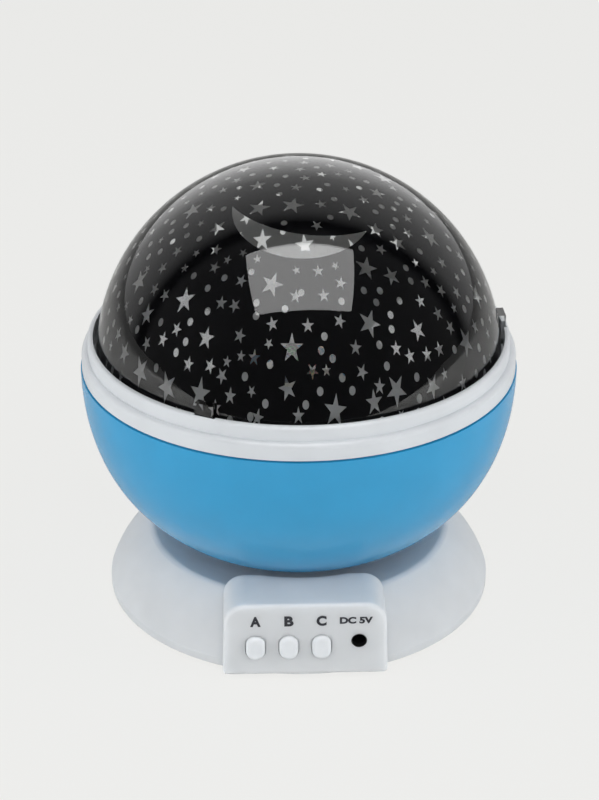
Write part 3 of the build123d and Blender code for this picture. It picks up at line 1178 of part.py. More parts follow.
with BuildPart() as motor_lead:
    route = [
        (4.0, BOARD_Y + BOARD_THICK, 6.2),
        (4.0, -41.0, 6.2),
        (3.2, -29.0, 5.0),
        (2.4, -14.5, 5.2),
        (1.6, 0.0, 4.9),
        (1.8, 0.4, 19.0),
        (1.4, 0.0, PLATFORM_CLIP_Z),
        (9.0, 0.0, PLATFORM_CLIP_Z + 12.0),
        (16.0, 0.0, MOTOR_Z + 10.0),
        (PINION_X - MOTOR_W / 2, 0.0, MOTOR_Z + 10.0),
    ]
    add(lead(route, MOTOR_LEAD_OD))
motor_lead.part.label = "motor_lead"
export_step(motor_lead.part, "parts/motor_lead.step")

with BuildPart() as battery_leads:
    for side in (-1, 1):
        route = [
            (side * (BAY_X - 4.5), -BAY_L / 2 - BAY_WALL, 7.0),
            (side * (BAY_X - 4.5), -BAY_L / 2 - BAY_WALL - 6.5, 7.0),
            (side * 23.0, -38.5, 6.0),
            (side * 13.0, -43.4, 6.4),
            (side * 7.6, -44.6, 6.0),
            (side * 7.6, BOARD_Y + BOARD_THICK, 6.0),
        ]
        add(lead(route, BATTERY_LEAD_OD))
battery_leads.part.label = "battery_leads"
export_step(battery_leads.part, "parts/battery_leads.step")
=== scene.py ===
"""Star night light projector: finishes, star print, lamp details, socket and markings on the CAD model.

Metres, +Z up, in the frame of the CAD model. The control box faces -Y.
"""

import random
from math import acos, asin, atan2, cos, degrees, pi, radians, sin

import bpy
from mathutils import Matrix, Vector
from mathutils.geometry import intersect_line_sphere


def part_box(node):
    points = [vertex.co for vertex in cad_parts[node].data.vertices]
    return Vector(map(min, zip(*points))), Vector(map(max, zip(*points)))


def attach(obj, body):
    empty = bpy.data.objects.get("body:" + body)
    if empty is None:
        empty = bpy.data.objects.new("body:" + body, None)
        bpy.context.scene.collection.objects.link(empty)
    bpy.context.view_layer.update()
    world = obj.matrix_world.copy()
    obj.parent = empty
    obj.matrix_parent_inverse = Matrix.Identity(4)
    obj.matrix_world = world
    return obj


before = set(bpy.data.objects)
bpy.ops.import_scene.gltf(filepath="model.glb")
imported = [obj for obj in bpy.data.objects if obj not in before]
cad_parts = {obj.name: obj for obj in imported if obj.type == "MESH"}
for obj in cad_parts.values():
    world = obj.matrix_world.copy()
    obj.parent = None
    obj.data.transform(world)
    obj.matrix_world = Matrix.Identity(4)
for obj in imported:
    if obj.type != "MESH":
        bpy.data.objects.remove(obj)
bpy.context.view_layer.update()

MM = 0.001  # a millimetre, in metres

# ---- Sizes that the CAD model gives ---------------------------------------------------------------
dome_low, dome_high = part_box("star_dome")
DOME_WALL = 1.6 * MM
DOME_OUTER_R = 60.7 * MM
DOME_CENTRE = Vector((0, 0, dome_high.z - DOME_OUTER_R))
PANEL_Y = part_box("base_housing")[0].y  # front face of the control box
LAMP_BOARD_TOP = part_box("lamp_board")[1].z


# ---- Small helpers --------------------------------------------------------------------------------
def linear(code):
    """The linear RGBA of an sRGB hex colour."""
    parts = [int(code[i : i + 2], 16) / 255 for i in (0, 2, 4)]
    return [c / 12.92 if c <= 0.04045 else ((c + 0.055) / 1.055) ** 2.4 for c in parts] + [1.0]


def grey(level):
    """A grey of a linear level, as RGBA."""
    return (level, level, level, 1)


def per_mm(size):
    """The scale of a pattern whose features are this many millimetres across."""
    return 1 / (size * MM)


def add(tree, kind, inputs=(), **settings):
    """Add a shader node; inputs holds values and links, and settings the node's own choices."""
    node = tree.nodes.new("ShaderNode" + kind)
    for name, value in settings.items():
        setattr(node, name, value)
    for name, value in dict(inputs).items():
        if isinstance(value, bpy.types.NodeSocket):
            tree.links.new(value, node.inputs[name])
        else:
            node.inputs[name].default_value = value
    return node


def blank(name):
    """A new material with an empty node tree."""
    material = bpy.data.materials.new(name)
    material.use_nodes = True
    material.node_tree.nodes.clear()
    return material, material.node_tree


def deselect():
    if bpy.context.object and bpy.context.object.mode != "OBJECT":
        bpy.ops.object.mode_set(mode="OBJECT")
    bpy.ops.object.select_all(action="DESELECT")


def pick(obj):
    """Make obj the only selected and active object."""
    deselect()
    obj.select_set(True)
    bpy.context.view_layer.objects.active = obj


def placed(obj):
    """Put obj's place into its mesh, so that its object sits at the origin unturned and unscaled."""
    pick(obj)
    bpy.ops.object.transform_apply(location=True, rotation=True, scale=True)
    return obj


def joined(objects, name):
    """Join objects into one piece."""
    deselect()
    for obj in objects:
        obj.select_set(True)
    bpy.context.view_layer.objects.active = objects[0]
    bpy.ops.object.join()
    objects[0].name = objects[0].data.name = name
    return objects[0]


def copy_of(obj, matrix):
    """A copy of obj with its own mesh, moved by matrix."""
    twin = obj.copy()
    twin.data = obj.data.copy()
    twin.data.transform(matrix)
    bpy.context.scene.collection.objects.link(twin)
    return twin


def select_faces(obj, test):
    """Select the faces whose centre and normal pass the test, in edit mode's face mode."""
    pick(obj)
    bpy.ops.object.mode_set(mode="EDIT")
    bpy.ops.mesh.select_mode(type="FACE")
    bpy.ops.mesh.select_all(action="DESELECT")
    bpy.ops.object.mode_set(mode="OBJECT")
    for face in obj.data.polygons:
        face.select = test(obj.matrix_world @ face.center, face.normal)
    bpy.ops.object.mode_set(mode="EDIT")


def select_corners(obj, test):
    """Select the vertices whose place passes the test, in edit mode's vertex mode."""
    pick(obj)
    bpy.ops.object.mode_set(mode="EDIT")
    bpy.ops.mesh.select_mode(type="VERT")
    bpy.ops.mesh.select_all(action="DESELECT")
    bpy.ops.object.mode_set(mode="OBJECT")
    for vertex in obj.data.vertices:
        vertex.select = test(obj.matrix_world @ vertex.co)
    bpy.ops.object.mode_set(mode="EDIT")


def smoothed(obj, angle=30):
    """Shade obj smooth, with creases where it turns by more than the angle."""
    pick(obj)
    bpy.ops.object.shade_smooth_by_angle(angle=radians(angle))
    return obj


def applied(obj, kind, name, **settings):
    """Add a modifier to obj and apply it."""
    pick(obj)
    modifier = obj.modifiers.new(name, kind)
    for key, value in settings.items():
        setattr(modifier, key, value)
    bpy.ops.object.modifier_apply(modifier=name)


def dressed(obj, material, body):
    """Give a finished piece its material, body and material slot."""
    obj.data.materials.clear()
    obj.data.materials.append(material)
    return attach(obj, body)


# ---- Camera ---------------------------------------------------------------------------------------
VIEW_AZIMUTH = radians(-1.9)
VIEW_ELEVATION = radians(27.15)
VIEW_DISTANCE = 0.700
VIEW_TARGET = Vector((0, 0, 0.060))

camera_data = bpy.data.cameras.new("camera")
camera_data.sensor_width = 36
camera_data.lens = 103.8
camera_data.shift_x = 0.0009
camera_data.shift_y = 0.0045
camera_data.clip_start = 0.01
camera_data.clip_end = 20
camera = bpy.data.objects.new("camera", camera_data)
bpy.context.scene.collection.objects.link(camera)
towards_camera = Vector(
    (sin(VIEW_AZIMUTH) * cos(VIEW_ELEVATION), -cos(VIEW_AZIMUTH) * cos(VIEW_ELEVATION), sin(VIEW_ELEVATION))
)
camera.location = VIEW_TARGET + VIEW_DISTANCE * towards_camera
camera.rotation_mode = "QUATERNION"
camera.rotation_quaternion = (-towards_camera).to_track_quat("-Z", "Y")
bpy.context.scene.camera = camera

# ---- Studio ---------------------------------------------------------------------------------------
BACKGROUND = linear("efefed")
FLOOR_SIZE = 8
FLOOR_FRONT_Y = -0.42
EVEN_SHARE = 0.9  # share of the floor's tone that the camera sees as it is written
bpy.context.scene.view_settings.view_transform = "Standard"

deselect()
bpy.ops.mesh.primitive_plane_add(size=FLOOR_SIZE, location=(0, FLOOR_FRONT_Y + FLOOR_SIZE / 2, 0))
floor = bpy.context.object
floor.name = "floor"
# Painted board: most of what the camera sees of it is even, and the rest takes the lamps and shadows.
painted_board, tree = blank("painted board")
matt = add(tree, "BsdfDiffuse", {"Color": BACKGROUND})
even = add(tree, "Emission", {"Color": BACKGROUND, "Strength": 1.0})
rays = add(tree, "LightPath")
share = add(tree, "Math", {0: rays.outputs["Is Camera Ray"], 1: EVEN_SHARE}, operation="MULTIPLY")
mix = add(tree, "MixShader", {0: share.outputs[0], 1: matt.outputs[0], 2: even.outputs[0]})
add(tree, "OutputMaterial", {"Surface": mix.outputs[0]})
floor.data.materials.append(painted_board)

# A white tent, brightest low down at the back. In reflections it has a dark gap overhead. Its tones
# are (place, level), from the front at 0 to the back at 1.
TENT_ENDS = (0.04, 1.5)
TENT_TONES = ((0.46, 0.07), (0.56, 0.10), (0.60, 0.01), (0.635, 0.01), (0.71, 0.42), (0.91, 0.72))
CLOTH_TONES = ((0.15, 0.45), (0.75, 1.0))
world = bpy.data.worlds.new("studio")
bpy.context.scene.world = world
world.use_nodes = True
tree = world.node_tree
tree.nodes.clear()
direction = add(tree, "TexCoord")
parts = add(tree, "SeparateXYZ", {0: direction.outputs["Generated"]})
depth = add(tree, "MapRange", {"Value": parts.outputs["Y"], "From Min": -1.0, "From Max": 1.0})
tent = add(tree, "ValToRGB", {"Fac": depth.outputs[0]})
stops = tent.color_ramp.elements
for stop, level in zip(stops, TENT_ENDS):
    stop.color = grey(level)
for place, level in TENT_TONES:
    stop = stops.new(place)
    stop.color = grey(level)
rays = add(tree, "LightPath")
seen = add(
    tree,
    "Math",
    {0: rays.outputs["Is Camera Ray"], 1: rays.outputs["Is Transmission Ray"]},
    operation="MAXIMUM",
)
reflected = add(tree, "Background", {"Color": tent.outputs["Color"], "Strength": 1.0})
cloth = add(tree, "ValToRGB", {"Fac": depth.outputs[0]})
for stop, (place, level) in zip(cloth.color_ramp.elements, CLOTH_TONES):
    stop.position = place
    stop.color = grey(level)
low_down = add(
    tree,
    "MapRange",
    {"Value": parts.outputs["Z"], "From Min": 0.0, "From Max": 1.0, "To Min": 0.95, "To Max": 0.08},
)
lighting = add(tree, "Background", {"Color": cloth.outputs["Color"], "Strength": low_down.outputs[0]})
backdrop = add(tree, "Background", {"Color": BACKGROUND, "Strength": 1.0})
gloss_mix = add(
    tree,
    "MixShader",
    {0: rays.outputs["Is Glossy Ray"], 1: lighting.outputs[0], 2: reflected.outputs[0]},
)
seen_mix = add(tree, "MixShader", {0: seen.outputs[0], 1: gloss_mix.outputs[0], 2: backdrop.outputs[0]})
add(tree, "OutputWorld", {"Surface": seen_mix.outputs[0]})


def softbox(name, centre, target, width, height, radiance):
    """A rectangular area lamp of an even radiance that faces its target."""
    data = bpy.data.lights.new(name, "AREA")
    data.shape = "RECTANGLE"
    data.size, data.size_y = width, height
    data.energy = pi * width * height * radiance
    lamp = bpy.data.objects.new(name, data)
    lamp.location = centre
    lamp.rotation_mode = "QUATERNION"
    lamp.rotation_quaternion = (Vector(target) - Vector(centre)).to_track_quat("-Z", "Y")
    bpy.context.scene.collection.objects.link(lamp)
    return lamp


OVERHEAD = {"centre": (0.01, -0.30, 0.88), "target": (0, 0, 0.08), "width": 0.84, "height": 0.60}
sheen = softbox("overhead softbox, its reflection", **OVERHEAD, radiance=3.5)
sheen.visible_diffuse = False
overhead = softbox("overhead softbox, its light", **OVERHEAD, radiance=0.6)
overhead.visible_glossy = False
for side in (-1, 1):
    panel = softbox(
        "side panel",
        centre=(side * 0.85, -0.30, 0.42),
        target=(0, 0, 0.03),
        width=0.70,
        height=0.50,
        radiance=3.8,
    )
    panel.visible_glossy = False
raised = softbox(
    "raised front panel",
    centre=(0, -0.88, 0.72),
    target=(0, 0, 0.04),
    width=0.90,
    height=0.70,
    radiance=2.25,
)
raised.visible_glossy = False

# ---- Materials ------------------------------------------------------------------------------------


def moulded(name, code, roughness, ior, waves, grain, drift=0.03, **sockets):
    """Moulded plastic: slow waves from the mould, a fine grain and a slight drift in its colour.

    Waves and grain are each (size in millimetres, strength), and sockets are the shader's own.
    """
    material, tree = blank(name)
    where = add(tree, "TexCoord").outputs["Object"]
    wave = add(tree, "TexNoise", {"Vector": where, "Scale": per_mm(waves[0]), "Detail": 2.0})
    fine = add(tree, "TexNoise", {"Vector": where, "Scale": per_mm(grain[0]), "Detail": 3.0})
    wave_bump = add(tree, "Bump", {"Height": wave.outputs[0], "Strength": waves[1], "Distance": 0.2 * MM})
    bump = add(
        tree,
        "Bump",
        {
            "Height": fine.outputs[0],
            "Strength": grain[1],
            "Distance": 0.05 * MM,
            "Normal": wave_bump.outputs[0],
        },
    )
    tint = add(tree, "ValToRGB", {"Fac": wave.outputs[0]})
    base = linear(code)
    ends = tint.color_ramp.elements
    ends[0].position, ends[1].position = 0.3, 0.7
    ends[0].color = [c * (1 - drift) for c in base[:3]] + [1]
    ends[1].color = [min(1, c * (1 + drift)) for c in base[:3]] + [1]
    polish = add(
        tree,
        "MapRange",
        {"Value": fine.outputs[0], "To Min": roughness * 0.9, "To Max": roughness * 1.1},
    )
    skin = add(
        tree,
        "BsdfPrincipled",
        {
            "Base Color": tint.outputs[0],
            "Roughness": polish.outputs[0],
            "IOR": ior,
            "Normal": bump.outputs[0],
            **sockets,
        },
    )
    add(tree, "OutputMaterial", {"Surface": skin.outputs[0]})
    return material


def metal(name, code, roughness, grain, stretch=(1, 1, 1)):
    """Bare or plated metal with fine marks, which stretch packs closer along an axis.

    Grain is (size in millimetres, strength).
    """
    material, tree = blank(name)
    where = add(tree, "TexCoord").outputs["Object"]
    turned = add(tree, "Mapping", {"Vector": where, "Scale": stretch})
    marks = add(tree, "TexNoise", {"Vector": turned.outputs[0], "Scale": per_mm(grain[0]), "Detail": 4.0})
    polish = add(
        tree,
        "MapRange",
        {"Value": marks.outputs[0], "To Min": roughness * 0.75, "To Max": roughness * 1.25},
    )
    bump = add(tree, "Bump", {"Height": marks.outputs[0], "Strength": grain[1], "Distance": 0.02 * MM})
    skin = add(
        tree,
        "BsdfPrincipled",
        {
            "Base Color": linear(code),
            "Metallic": 1.0,
            "Roughness": polish.outputs[0],
            "Normal": bump.outputs[0],
        },
    )
    add(tree, "OutputMaterial", {"Surface": skin.outputs[0]})
    return material


def cast_clear(name, code, roughness, ior):
    """Clear plastic that light goes through, with hardly any waviness."""
    material, tree = blank(name)
    where = add(tree, "TexCoord").outputs["Object"]
    wave = add(tree, "TexNoise", {"Vector": where, "Scale": per_mm(18), "Detail": 1.0})
    bump = add(tree, "Bump", {"Height": wave.outputs[0], "Strength": 0.05, "Distance": 0.1 * MM})
    skin = add(
        tree,
        "BsdfPrincipled",
        {
            "Base Color": linear(code),
            "Roughness": roughness,
            "IOR": ior,
            "Transmission Weight": 1.0,
            "Normal": bump.outputs[0],
        },
    )
    add(tree, "OutputMaterial", {"Surface": skin.outputs[0]})
    return material


# Glossy ABS straight from a polished mould: crisp highlights that bend a little with its waviness.
blue_abs = moulded(
    "blue ABS, gloss moulded", "2896c8", roughness=0.22, ior=1.53, waves=(14, 0.10), grain=(0.9, 0.03)
)
# The same in white: the sheen is softer because the colour is pale.
white_abs = moulded(
    "white ABS, gloss moulded", "d2d6da", roughness=0.30, ior=1.53, waves=(14, 0.10), grain=(0.9, 0.03)
)
# White ABS from a satin mould: a broad soft sheen, and a grain that is drawn coarse enough to show.
satin_abs = moulded(
    "white ABS, satin moulded", "cfd1d4", roughness=0.42, ior=1.53, waves=(12, 0.08), grain=(0.7, 0.10)
)
# The base's own white ABS: a little milky, so that light spreads inside it and softens its shadows.
base_abs = moulded(
    "milky white ABS, satin moulded",
    "d6d9dc",
    roughness=0.42,
    ior=1.53,
    waves=(12, 0.08),
    grain=(0.7, 0.10),
    **{"Subsurface Weight": 0.6, "Subsurface Radius": (1.0, 1.0, 1.0), "Subsurface Scale": 7.0 * MM},
)
# Milky ABS of the buttons: a little light gets in and softens their edges.
milky_abs = moulded(
    "milky ABS, satin moulded",
    "dfe2e5",
    roughness=0.38,
    ior=1.53,
    waves=(6, 0.05),
    grain=(0.6, 0.05),
    **{"Subsurface Weight": 0.25, "Subsurface Radius": (1.0, 1.0, 1.0), "Subsurface Scale": 1.5 * MM},
)
# Natural acetal: waxy off-white, used for what turns or rubs.
acetal = moulded(
    "natural acetal, moulded", "ece9df", roughness=0.45, ior=1.48, waves=(5, 0.06), grain=(0.5, 0.08)
)
# Soft dark rubber: matt, with a dry pebbled skin.
rubber = moulded(
    "thermoplastic rubber, moulded",
    "2b2b2c",
    roughness=0.75,
    ior=1.50,
    waves=(4, 0.05),
    grain=(0.35, 0.35),
    drift=0.1,
)
# Black ABS of switches and socket: dull, with nearly no grain.
black_abs = moulded(
    "black ABS, moulded",
    "171717",
    roughness=0.5,
    ior=1.53,
    waves=(4, 0.04),
    grain=(0.3, 0.12),
    drift=0.1,
)
# Clear polystyrene from a polished mould: hard bright reflections.
clear_styrene = cast_clear("clear polystyrene, moulded", "fbfcfc", roughness=0.02, ior=1.59)
# Zinc-plated steel: cool grey with a slight cloudiness.
zinc = metal("steel, zinc plated", "b9bcc0", roughness=0.34, grain=(0.35, 0.15))
# Spring steel: darker and brighter polished.
spring_steel = metal("spring steel, stamped", "8f9194", roughness=0.28, grain=(0.2, 0.1), stretch=(1, 6, 1))
# Nickel plate: warm silver with a clean shine.
nickel = metal("steel, nickel plated", "c6c3bb", roughness=0.22, grain=(0.25, 0.08))
# Drawn can of the motor: nickel with faint marks round it.
motor_steel = metal(
    "steel, drawn and nickel plated", "bdbcb8", roughness=0.30, grain=(0.3, 0.15), stretch=(1, 1, 8)
)
# Brass plates of the gearbox, stamped.
brass = metal("brass, stamped", "b89a58", roughness=0.32, grain=(0.3, 0.12), stretch=(1, 1, 5))
# PVC skins of the leads: smooth, slightly greasy shine.
grey_pvc = moulded(
    "grey PVC, extruded", "9b9da0", roughness=0.40, ior=1.54, waves=(3, 0.08), grain=(0.4, 0.05)
)
red_pvc = moulded(
    "red PVC, extruded", "9c2320", roughness=0.40, ior=1.54, waves=(3, 0.08), grain=(0.4, 0.05)
)
black_pvc = moulded(
    "black PVC, extruded", "1b1b1c", roughness=0.40, ior=1.54, waves=(3, 0.08), grain=(0.4, 0.05)
)
# Black ink seen through the wall it is printed on: no gloss of its own, since the wall wets it.
ink = moulded(
    "black ink, screen printed",
    "08080a",
    roughness=0.60,
    ior=1.02,
    waves=(8, 0.03),
    grain=(0.5, 0.05),
    drift=0.1,
)
# The second pass of ink, towards the lamps: a chalky grey that throws light about inside the dome.
backing_ink = moulded(
    "grey backing ink, screen printed",
    "c4c4c2",
    roughness=0.80,
    ior=1.05,
    waves=(8, 0.05),
    grain=(0.5, 0.1),
)
# Dark pad-printed marks on the control box: thin ink with soft edges in its sheen.
pad_ink = moulded(
    "dark ink, pad printed",
    "26262e",
    roughness=0.5,
    ior=1.50,
    waves=(2, 0.03),
    grain=(0.25, 0.15),
    drift=0.15,
)
# Clear epoxies of the lamps.
warm_epoxy = cast_clear("amber epoxy, cast", "ffc46b", roughness=0.12, ior=1.50)
red_epoxy = cast_clear("red epoxy, cast", "e0412f", roughness=0.12, ior=1.50)
green_epoxy = cast_clear("green epoxy, cast", "4fc46b", roughness=0.12, ior=1.50)
blue_epoxy = cast_clear("blue epoxy, cast", "4a78e0", roughness=0.12, ior=1.50)


def circuit_board(name, mask, copper, pitch_mm):
    """Glass-fibre board: tracks show as a faint relief and tint under the solder mask."""
    material, tree = blank(name)
    where = add(tree, "TexCoord").outputs["Object"]
    cells = add(
        tree,
        "TexVoronoi",
        {"Vector": where, "Scale": per_mm(pitch_mm), "Randomness": 0.6},
        distance="CHEBYCHEV",
        feature="F1",
    )
    weave = add(tree, "TexNoise", {"Vector": where, "Scale": per_mm(0.5), "Detail": 2.0})
    tracks = add(tree, "ValToRGB", {"Fac": cells.outputs["Distance"]})
    steps = tracks.color_ramp.elements
    steps[0].position, steps[0].color = 0.42, linear(mask)
    steps[1].position, steps[1].color = 0.46, linear(copper)
    relief = add(
        tree,
        "Bump",
        {"Height": cells.outputs["Distance"], "Strength": 0.2, "Distance": 0.05 * MM},
    )
    bump = add(
        tree,
        "Bump",
        {"Height": weave.outputs[0], "Strength": 0.1, "Distance": 0.02 * MM, "Normal": relief.outputs[0]},
    )
    skin = add(
        tree,
        "BsdfPrincipled",
        {"Base Color": tracks.outputs[0], "Roughness": 0.33, "IOR": 1.52, "Normal": bump.outputs[0]},
    )
    add(tree, "OutputMaterial", {"Surface": skin.outputs[0]})
    return material


white_board = circuit_board("glass-fibre board, white solder mask", "dcdcd6", "cfcfc4", 3.0)
green_board = circuit_board("glass-fibre board, green solder mask", "1c5b38", "2a7a4b", 2.5)


CELL_HALF = 22.5 * MM  # half the length of a cell


def cell_sleeve():
    """Shrink sleeve of the AAA cells: plain, with a copper-coloured band at one end of each."""
    material, tree = blank("PVC sleeve, shrunk on")
    where = add(tree, "TexCoord").outputs["Object"]
    parts = add(tree, "SeparateXYZ", {0: where})
    along = add(
        tree,
        "MapRange",
        {"Value": parts.outputs["Y"], "From Min": -CELL_HALF, "From Max": CELL_HALF},
    )
    bands = add(tree, "ValToRGB", {"Fac": along.outputs[0]})
    bands.color_ramp.interpolation = "CONSTANT"
    zones = bands.color_ramp.elements
    zones[0].position, zones[0].color = 0.0, linear("bcbcba")
    zones[1].position, zones[1].color = 0.03, linear("b5793f")
    for place, code in ((0.26, "2e3134"), (0.97, "bcbcba")):
        zone = zones.new(place)
        zone.color = linear(code)
    creases = add(tree, "TexNoise", {"Vector": where, "Scale": per_mm(3), "Detail": 2.0})
    bump = add(tree, "Bump", {"Height": creases.outputs[0], "Strength": 0.1, "Distance": 0.05 * MM})
    skin = add(
        tree,
        "BsdfPrincipled",
        {
            "Base Color": bands.outputs[0],
            "Roughness": 0.3,
            "IOR": 1.54,
            "Coat Weight": 0.5,
            "Normal": bump.outputs[0],
        },
    )
    add(tree, "OutputMaterial", {"Surface": skin.outputs[0]})
    return material


finishes = {
    "base_housing": base_abs,
    "bottom_plate": satin_abs,
    "rubber_feet": rubber,
    "base_screws": zinc,
    "bowl_shell": blue_abs,
    "hub_bush": acetal,
    "ring_gear": acetal,
    "drive_pinion": acetal,
    "gear_screws": zinc,
    "collar_ring": white_abs,
    "collar_screws": zinc,
    "inner_deck": satin_abs,
    "star_dome": clear_styrene,
    "centre_column": satin_abs,
    "column_screws": zinc,
    "thrust_washer": acetal,
    "bush_clip": spring_steel,
    "platform_clip": spring_steel,
    "motor_platform": satin_abs,
    "gearbox_case": brass,
    "motor_can": motor_steel,
    "motor_screws": zinc,
    "lamp_holder": satin_abs,
    "lamp_board": white_board,
    "lamp_screws": zinc,
    "led_warm": warm_epoxy,
    "led_red": red_epoxy,
    "led_green": green_epoxy,
    "led_blue": blue_epoxy,
    "control_board": green_board,
    "board_screws": zinc,
    "tact_switches": black_abs,
    "button_a": milky_abs,
    "button_b": milky_abs,
    "button_c": milky_abs,
    "switch_plunger_a": black_abs,
    "switch_plunger_b": black_abs,
    "switch_plunger_c": black_abs,
    "power_jack": black_abs,
    "jack_pin": nickel,
    "battery_cells": cell_sleeve(),
    "contact_springs": nickel,
    "contact_plates": nickel,
    "battery_door_left": satin_abs,
    "battery_door_right": satin_abs,
    "door_screw_left": zinc,
    "door_screw_right": zinc,
    "lamp_cable": grey_pvc,
    "motor_lead": red_pvc,
    "battery_leads": black_pvc,
}
for node_name, finish in finishes.items():
    for material_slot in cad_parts[node_name].material_slots:
        material_slot.material = finish

# ---- Star print ------------------------------------------------------------------------------------
INK_BITE = 0.15 * MM  # how far the ink has bitten into the wall's inner face
FILM_R = DOME_OUTER_R - DOME_WALL + INK_BITE
FILM_THICK = 0.08 * MM
FILM_LIFT = 0.2 * MM  # how far the print starts above the dome's lower edge
SIDE_STRETCH = 0.7  # how much the sheet was drawn out at the rim when the dome was formed
POINT_SHARE = 0.39  # a star's inner corners, as a share of its points
MARK_SIZES = {"large": 3.25 * MM, "big": 2.55 * MM, "middle": 1.75 * MM, "small": 1.3 * MM, "dot": 0.9 * MM}

VIEW_WIDTH = 599  # the camera's picture, in pixels
VIEW_HEIGHT = 800

# The marks on the front: (across, down, turn), a place in the camera's picture in pixels and a turn in
# degrees.
SEEN_MARKS = {
    "large": [
        (293.3, 207.5, 10), (193.3, 214.2, 0), (272.5, 287, 15), (187, 300, 195), (141.7, 283.3, 20),
        (143, 372.5, 180), (169.2, 388.3, 188), (201.7, 393.3, 0), (292.5, 350, 0), (330.8, 163.4, 30),
        (381.7, 182.5, 10), (349.2, 214.2, 0), (428.3, 240.8, 20), (473, 296, -15), (365.8, 269.2, 30),
        (369.2, 323.3, 175), (463.3, 341.7, -12), (396.7, 390.8, 184), (333.3, 410, 8),
    ],
    "big": [
        (245.8, 173.3, 0), (256.7, 189.2, 20), (210, 180, 0), (218.3, 230, 8), (150, 315.8, 190),
        (205.8, 339.2, 0), (127.5, 352.5, 10), (376.7, 196.7, 0), (375, 233.3, 40), (396.7, 245.8, 15),
        (390.8, 278.3, 0), (416.7, 329.2, -10), (429.7, 385, 180), (372, 400.8, 0),
    ],
    "middle": [
        (265, 161.7, 0), (275.8, 171.7, 10), (295.8, 189.2, 5), (223.3, 193.7, 0), (212.5, 210.3, 30),
        (180, 252.5, 0), (147.5, 233.3, 12), (215, 269.2, 0), (240.8, 283.3, 10), (295, 296.7, 8),
        (167.5, 297, 20), (157.5, 290, 0), (221.7, 305, -8), (236.7, 305.8, 180), (179.2, 329.2, 10),
        (165.8, 340, 0), (148.7, 343, 25), (120.8, 335.8, 10), (188.7, 365, 0), (212.2, 365.8, 15),
        (221.7, 376.7, 180), (231.3, 395, 0), (216.3, 407.5, -8), (255, 358.3, 0), (259.2, 418.3, 10),
        (297.5, 415, 0), (322.4, 178, 0), (390.8, 191.7, 20), (321.7, 207, 0), (414.2, 203.3, 0),
        (405.8, 234.2, 8), (438.3, 263.3, 15), (455.8, 257.5, 0), (454.2, 294.2, 0), (423.3, 283.3, 10),
        (439.2, 291.7, -15), (318.3, 273.3, 0), (339.5, 282.5, 20), (323.3, 295, 0), (420, 303.3, 8),
        (437, 315, 0), (448.3, 326.7, -12), (471.3, 327.5, 0), (394.5, 347.5, 10), (409.2, 355, 0),
        (424.7, 354.2, 10), (437.2, 350.8, 0), (461.2, 382.5, 0), (379.7, 384.2, 10), (308.3, 327.5, 0),
        (310.8, 370, 180),
    ],
    "small": [
        (201.7, 197.5, 0), (186.7, 200.8, 0), (197.5, 255.8, 0), (140.8, 257.5, 0), (162.5, 220.8, 10),
        (229.2, 260.8, 0), (127.5, 280, 0), (149.2, 272.4, 0), (134.2, 320, 0), (113.3, 310.8, 0),
        (121.7, 309.2, 12), (106.5, 311, 0), (240.8, 355.8, 0), (228.3, 360, 0), (270, 343.3, 180),
        (250.8, 390, 180), (110.8, 363.3, 0), (124.2, 376.7, 10), (347.5, 175, 0), (357.5, 168.3, 0),
        (400, 186.7, 0), (345.8, 192.5, 10), (407.5, 212.5, 0), (443, 226.7, 0), (444.2, 238.3, 15),
        (458.3, 248.3, 0), (468.3, 268.3, 0), (455, 279.2, 0), (475, 284, 0), (451.7, 310.8, 8),
        (485.8, 320, 0), (484.2, 335, 0), (485.8, 359.2, 0), (443.3, 375, 0), (326.7, 371.7, 0),
    ],
    "dot": [
        (285, 180, 0), (228.3, 182.5, 0), (205, 190, 0), (190, 236.7, 0), (200.8, 240.8, 0),
        (174.2, 234.2, 0), (163.3, 253.3, 0), (153.3, 245.8, 0), (170, 223.3, 0), (172.5, 214.2, 0),
        (196.7, 275.8, 0), (210, 289.2, 0), (252.5, 273.3, 0), (207.5, 311.7, 0), (192.5, 321.7, 0),
        (162.2, 323.3, 0), (140, 330, 0), (177.5, 350.8, 0), (111.7, 330.8, 0), (103, 340, 0),
        (158.3, 366.7, 0), (256.7, 315.8, 0), (266.3, 402, 0), (250, 417.5, 0), (350, 180.8, 0),
        (364.6, 184.7, 0), (320, 193, 0), (374.2, 213.7, 0), (395, 222.5, 0), (428.3, 217.5, 0),
        (419.1, 253.3, 0), (409.7, 283.3, 0), (362.5, 291.3, 0), (379.7, 292.5, 0), (302.5, 295, 0),
        (340.8, 303.3, 0), (398.3, 301.7, 0), (388.8, 314.5, 0), (462, 309.2, 0), (451.7, 350.8, 0),
        (475.3, 349.2, 0), (495.2, 350, 0), (473.8, 373.3, 0), (481.7, 371.7, 0), (385, 365, 0),
        (414.2, 377.2, 0), (418, 399.2, 0), (350.8, 388.7, 0), (306.3, 405, 0), (325.3, 336.3, 0),
        (331.3, 359.2, 0),
    ],
}
# Large stars on the back that let light through to the front: (angle from the front towards +X, angle
# above the dome's centre, turn), in degrees.
BACK_STARS = [
    (-166, 37, 0), (-155, 20, 180), (-170, 14, 0), (160, 11, 180), (153, 18, 0), (146, 15, 180),
    (140, 20.5, 0), (132, 21, 180),
]
# Further marks are thrown at what is left empty: how often for each kind, with which seed, how low they
# may fall and how far they may lean in degrees, and how far they stay from each other and the moon.
THROWS = {"large": 500, "big": 700, "middle": 2600, "small": 3000, "dot": 5000}
THROW_SEED = 11
LOWEST_RISE = 5
LEAN = 20
SPREAD = 1.15
MARK_GAP = 1.3 * MM
MOON_GAP = 1.0 * MM

# The moon is a disc less a larger one: its place, the discs' radii and distance, and its turn.
MOON_SPOT = (1.0, 72.0)
MOON_OUTER_R = 19.5 * MM
MOON_INNER_R = 25.7 * MM
MOON_SHIFT = 14.1 * MM
MOON_TURN = 17.5


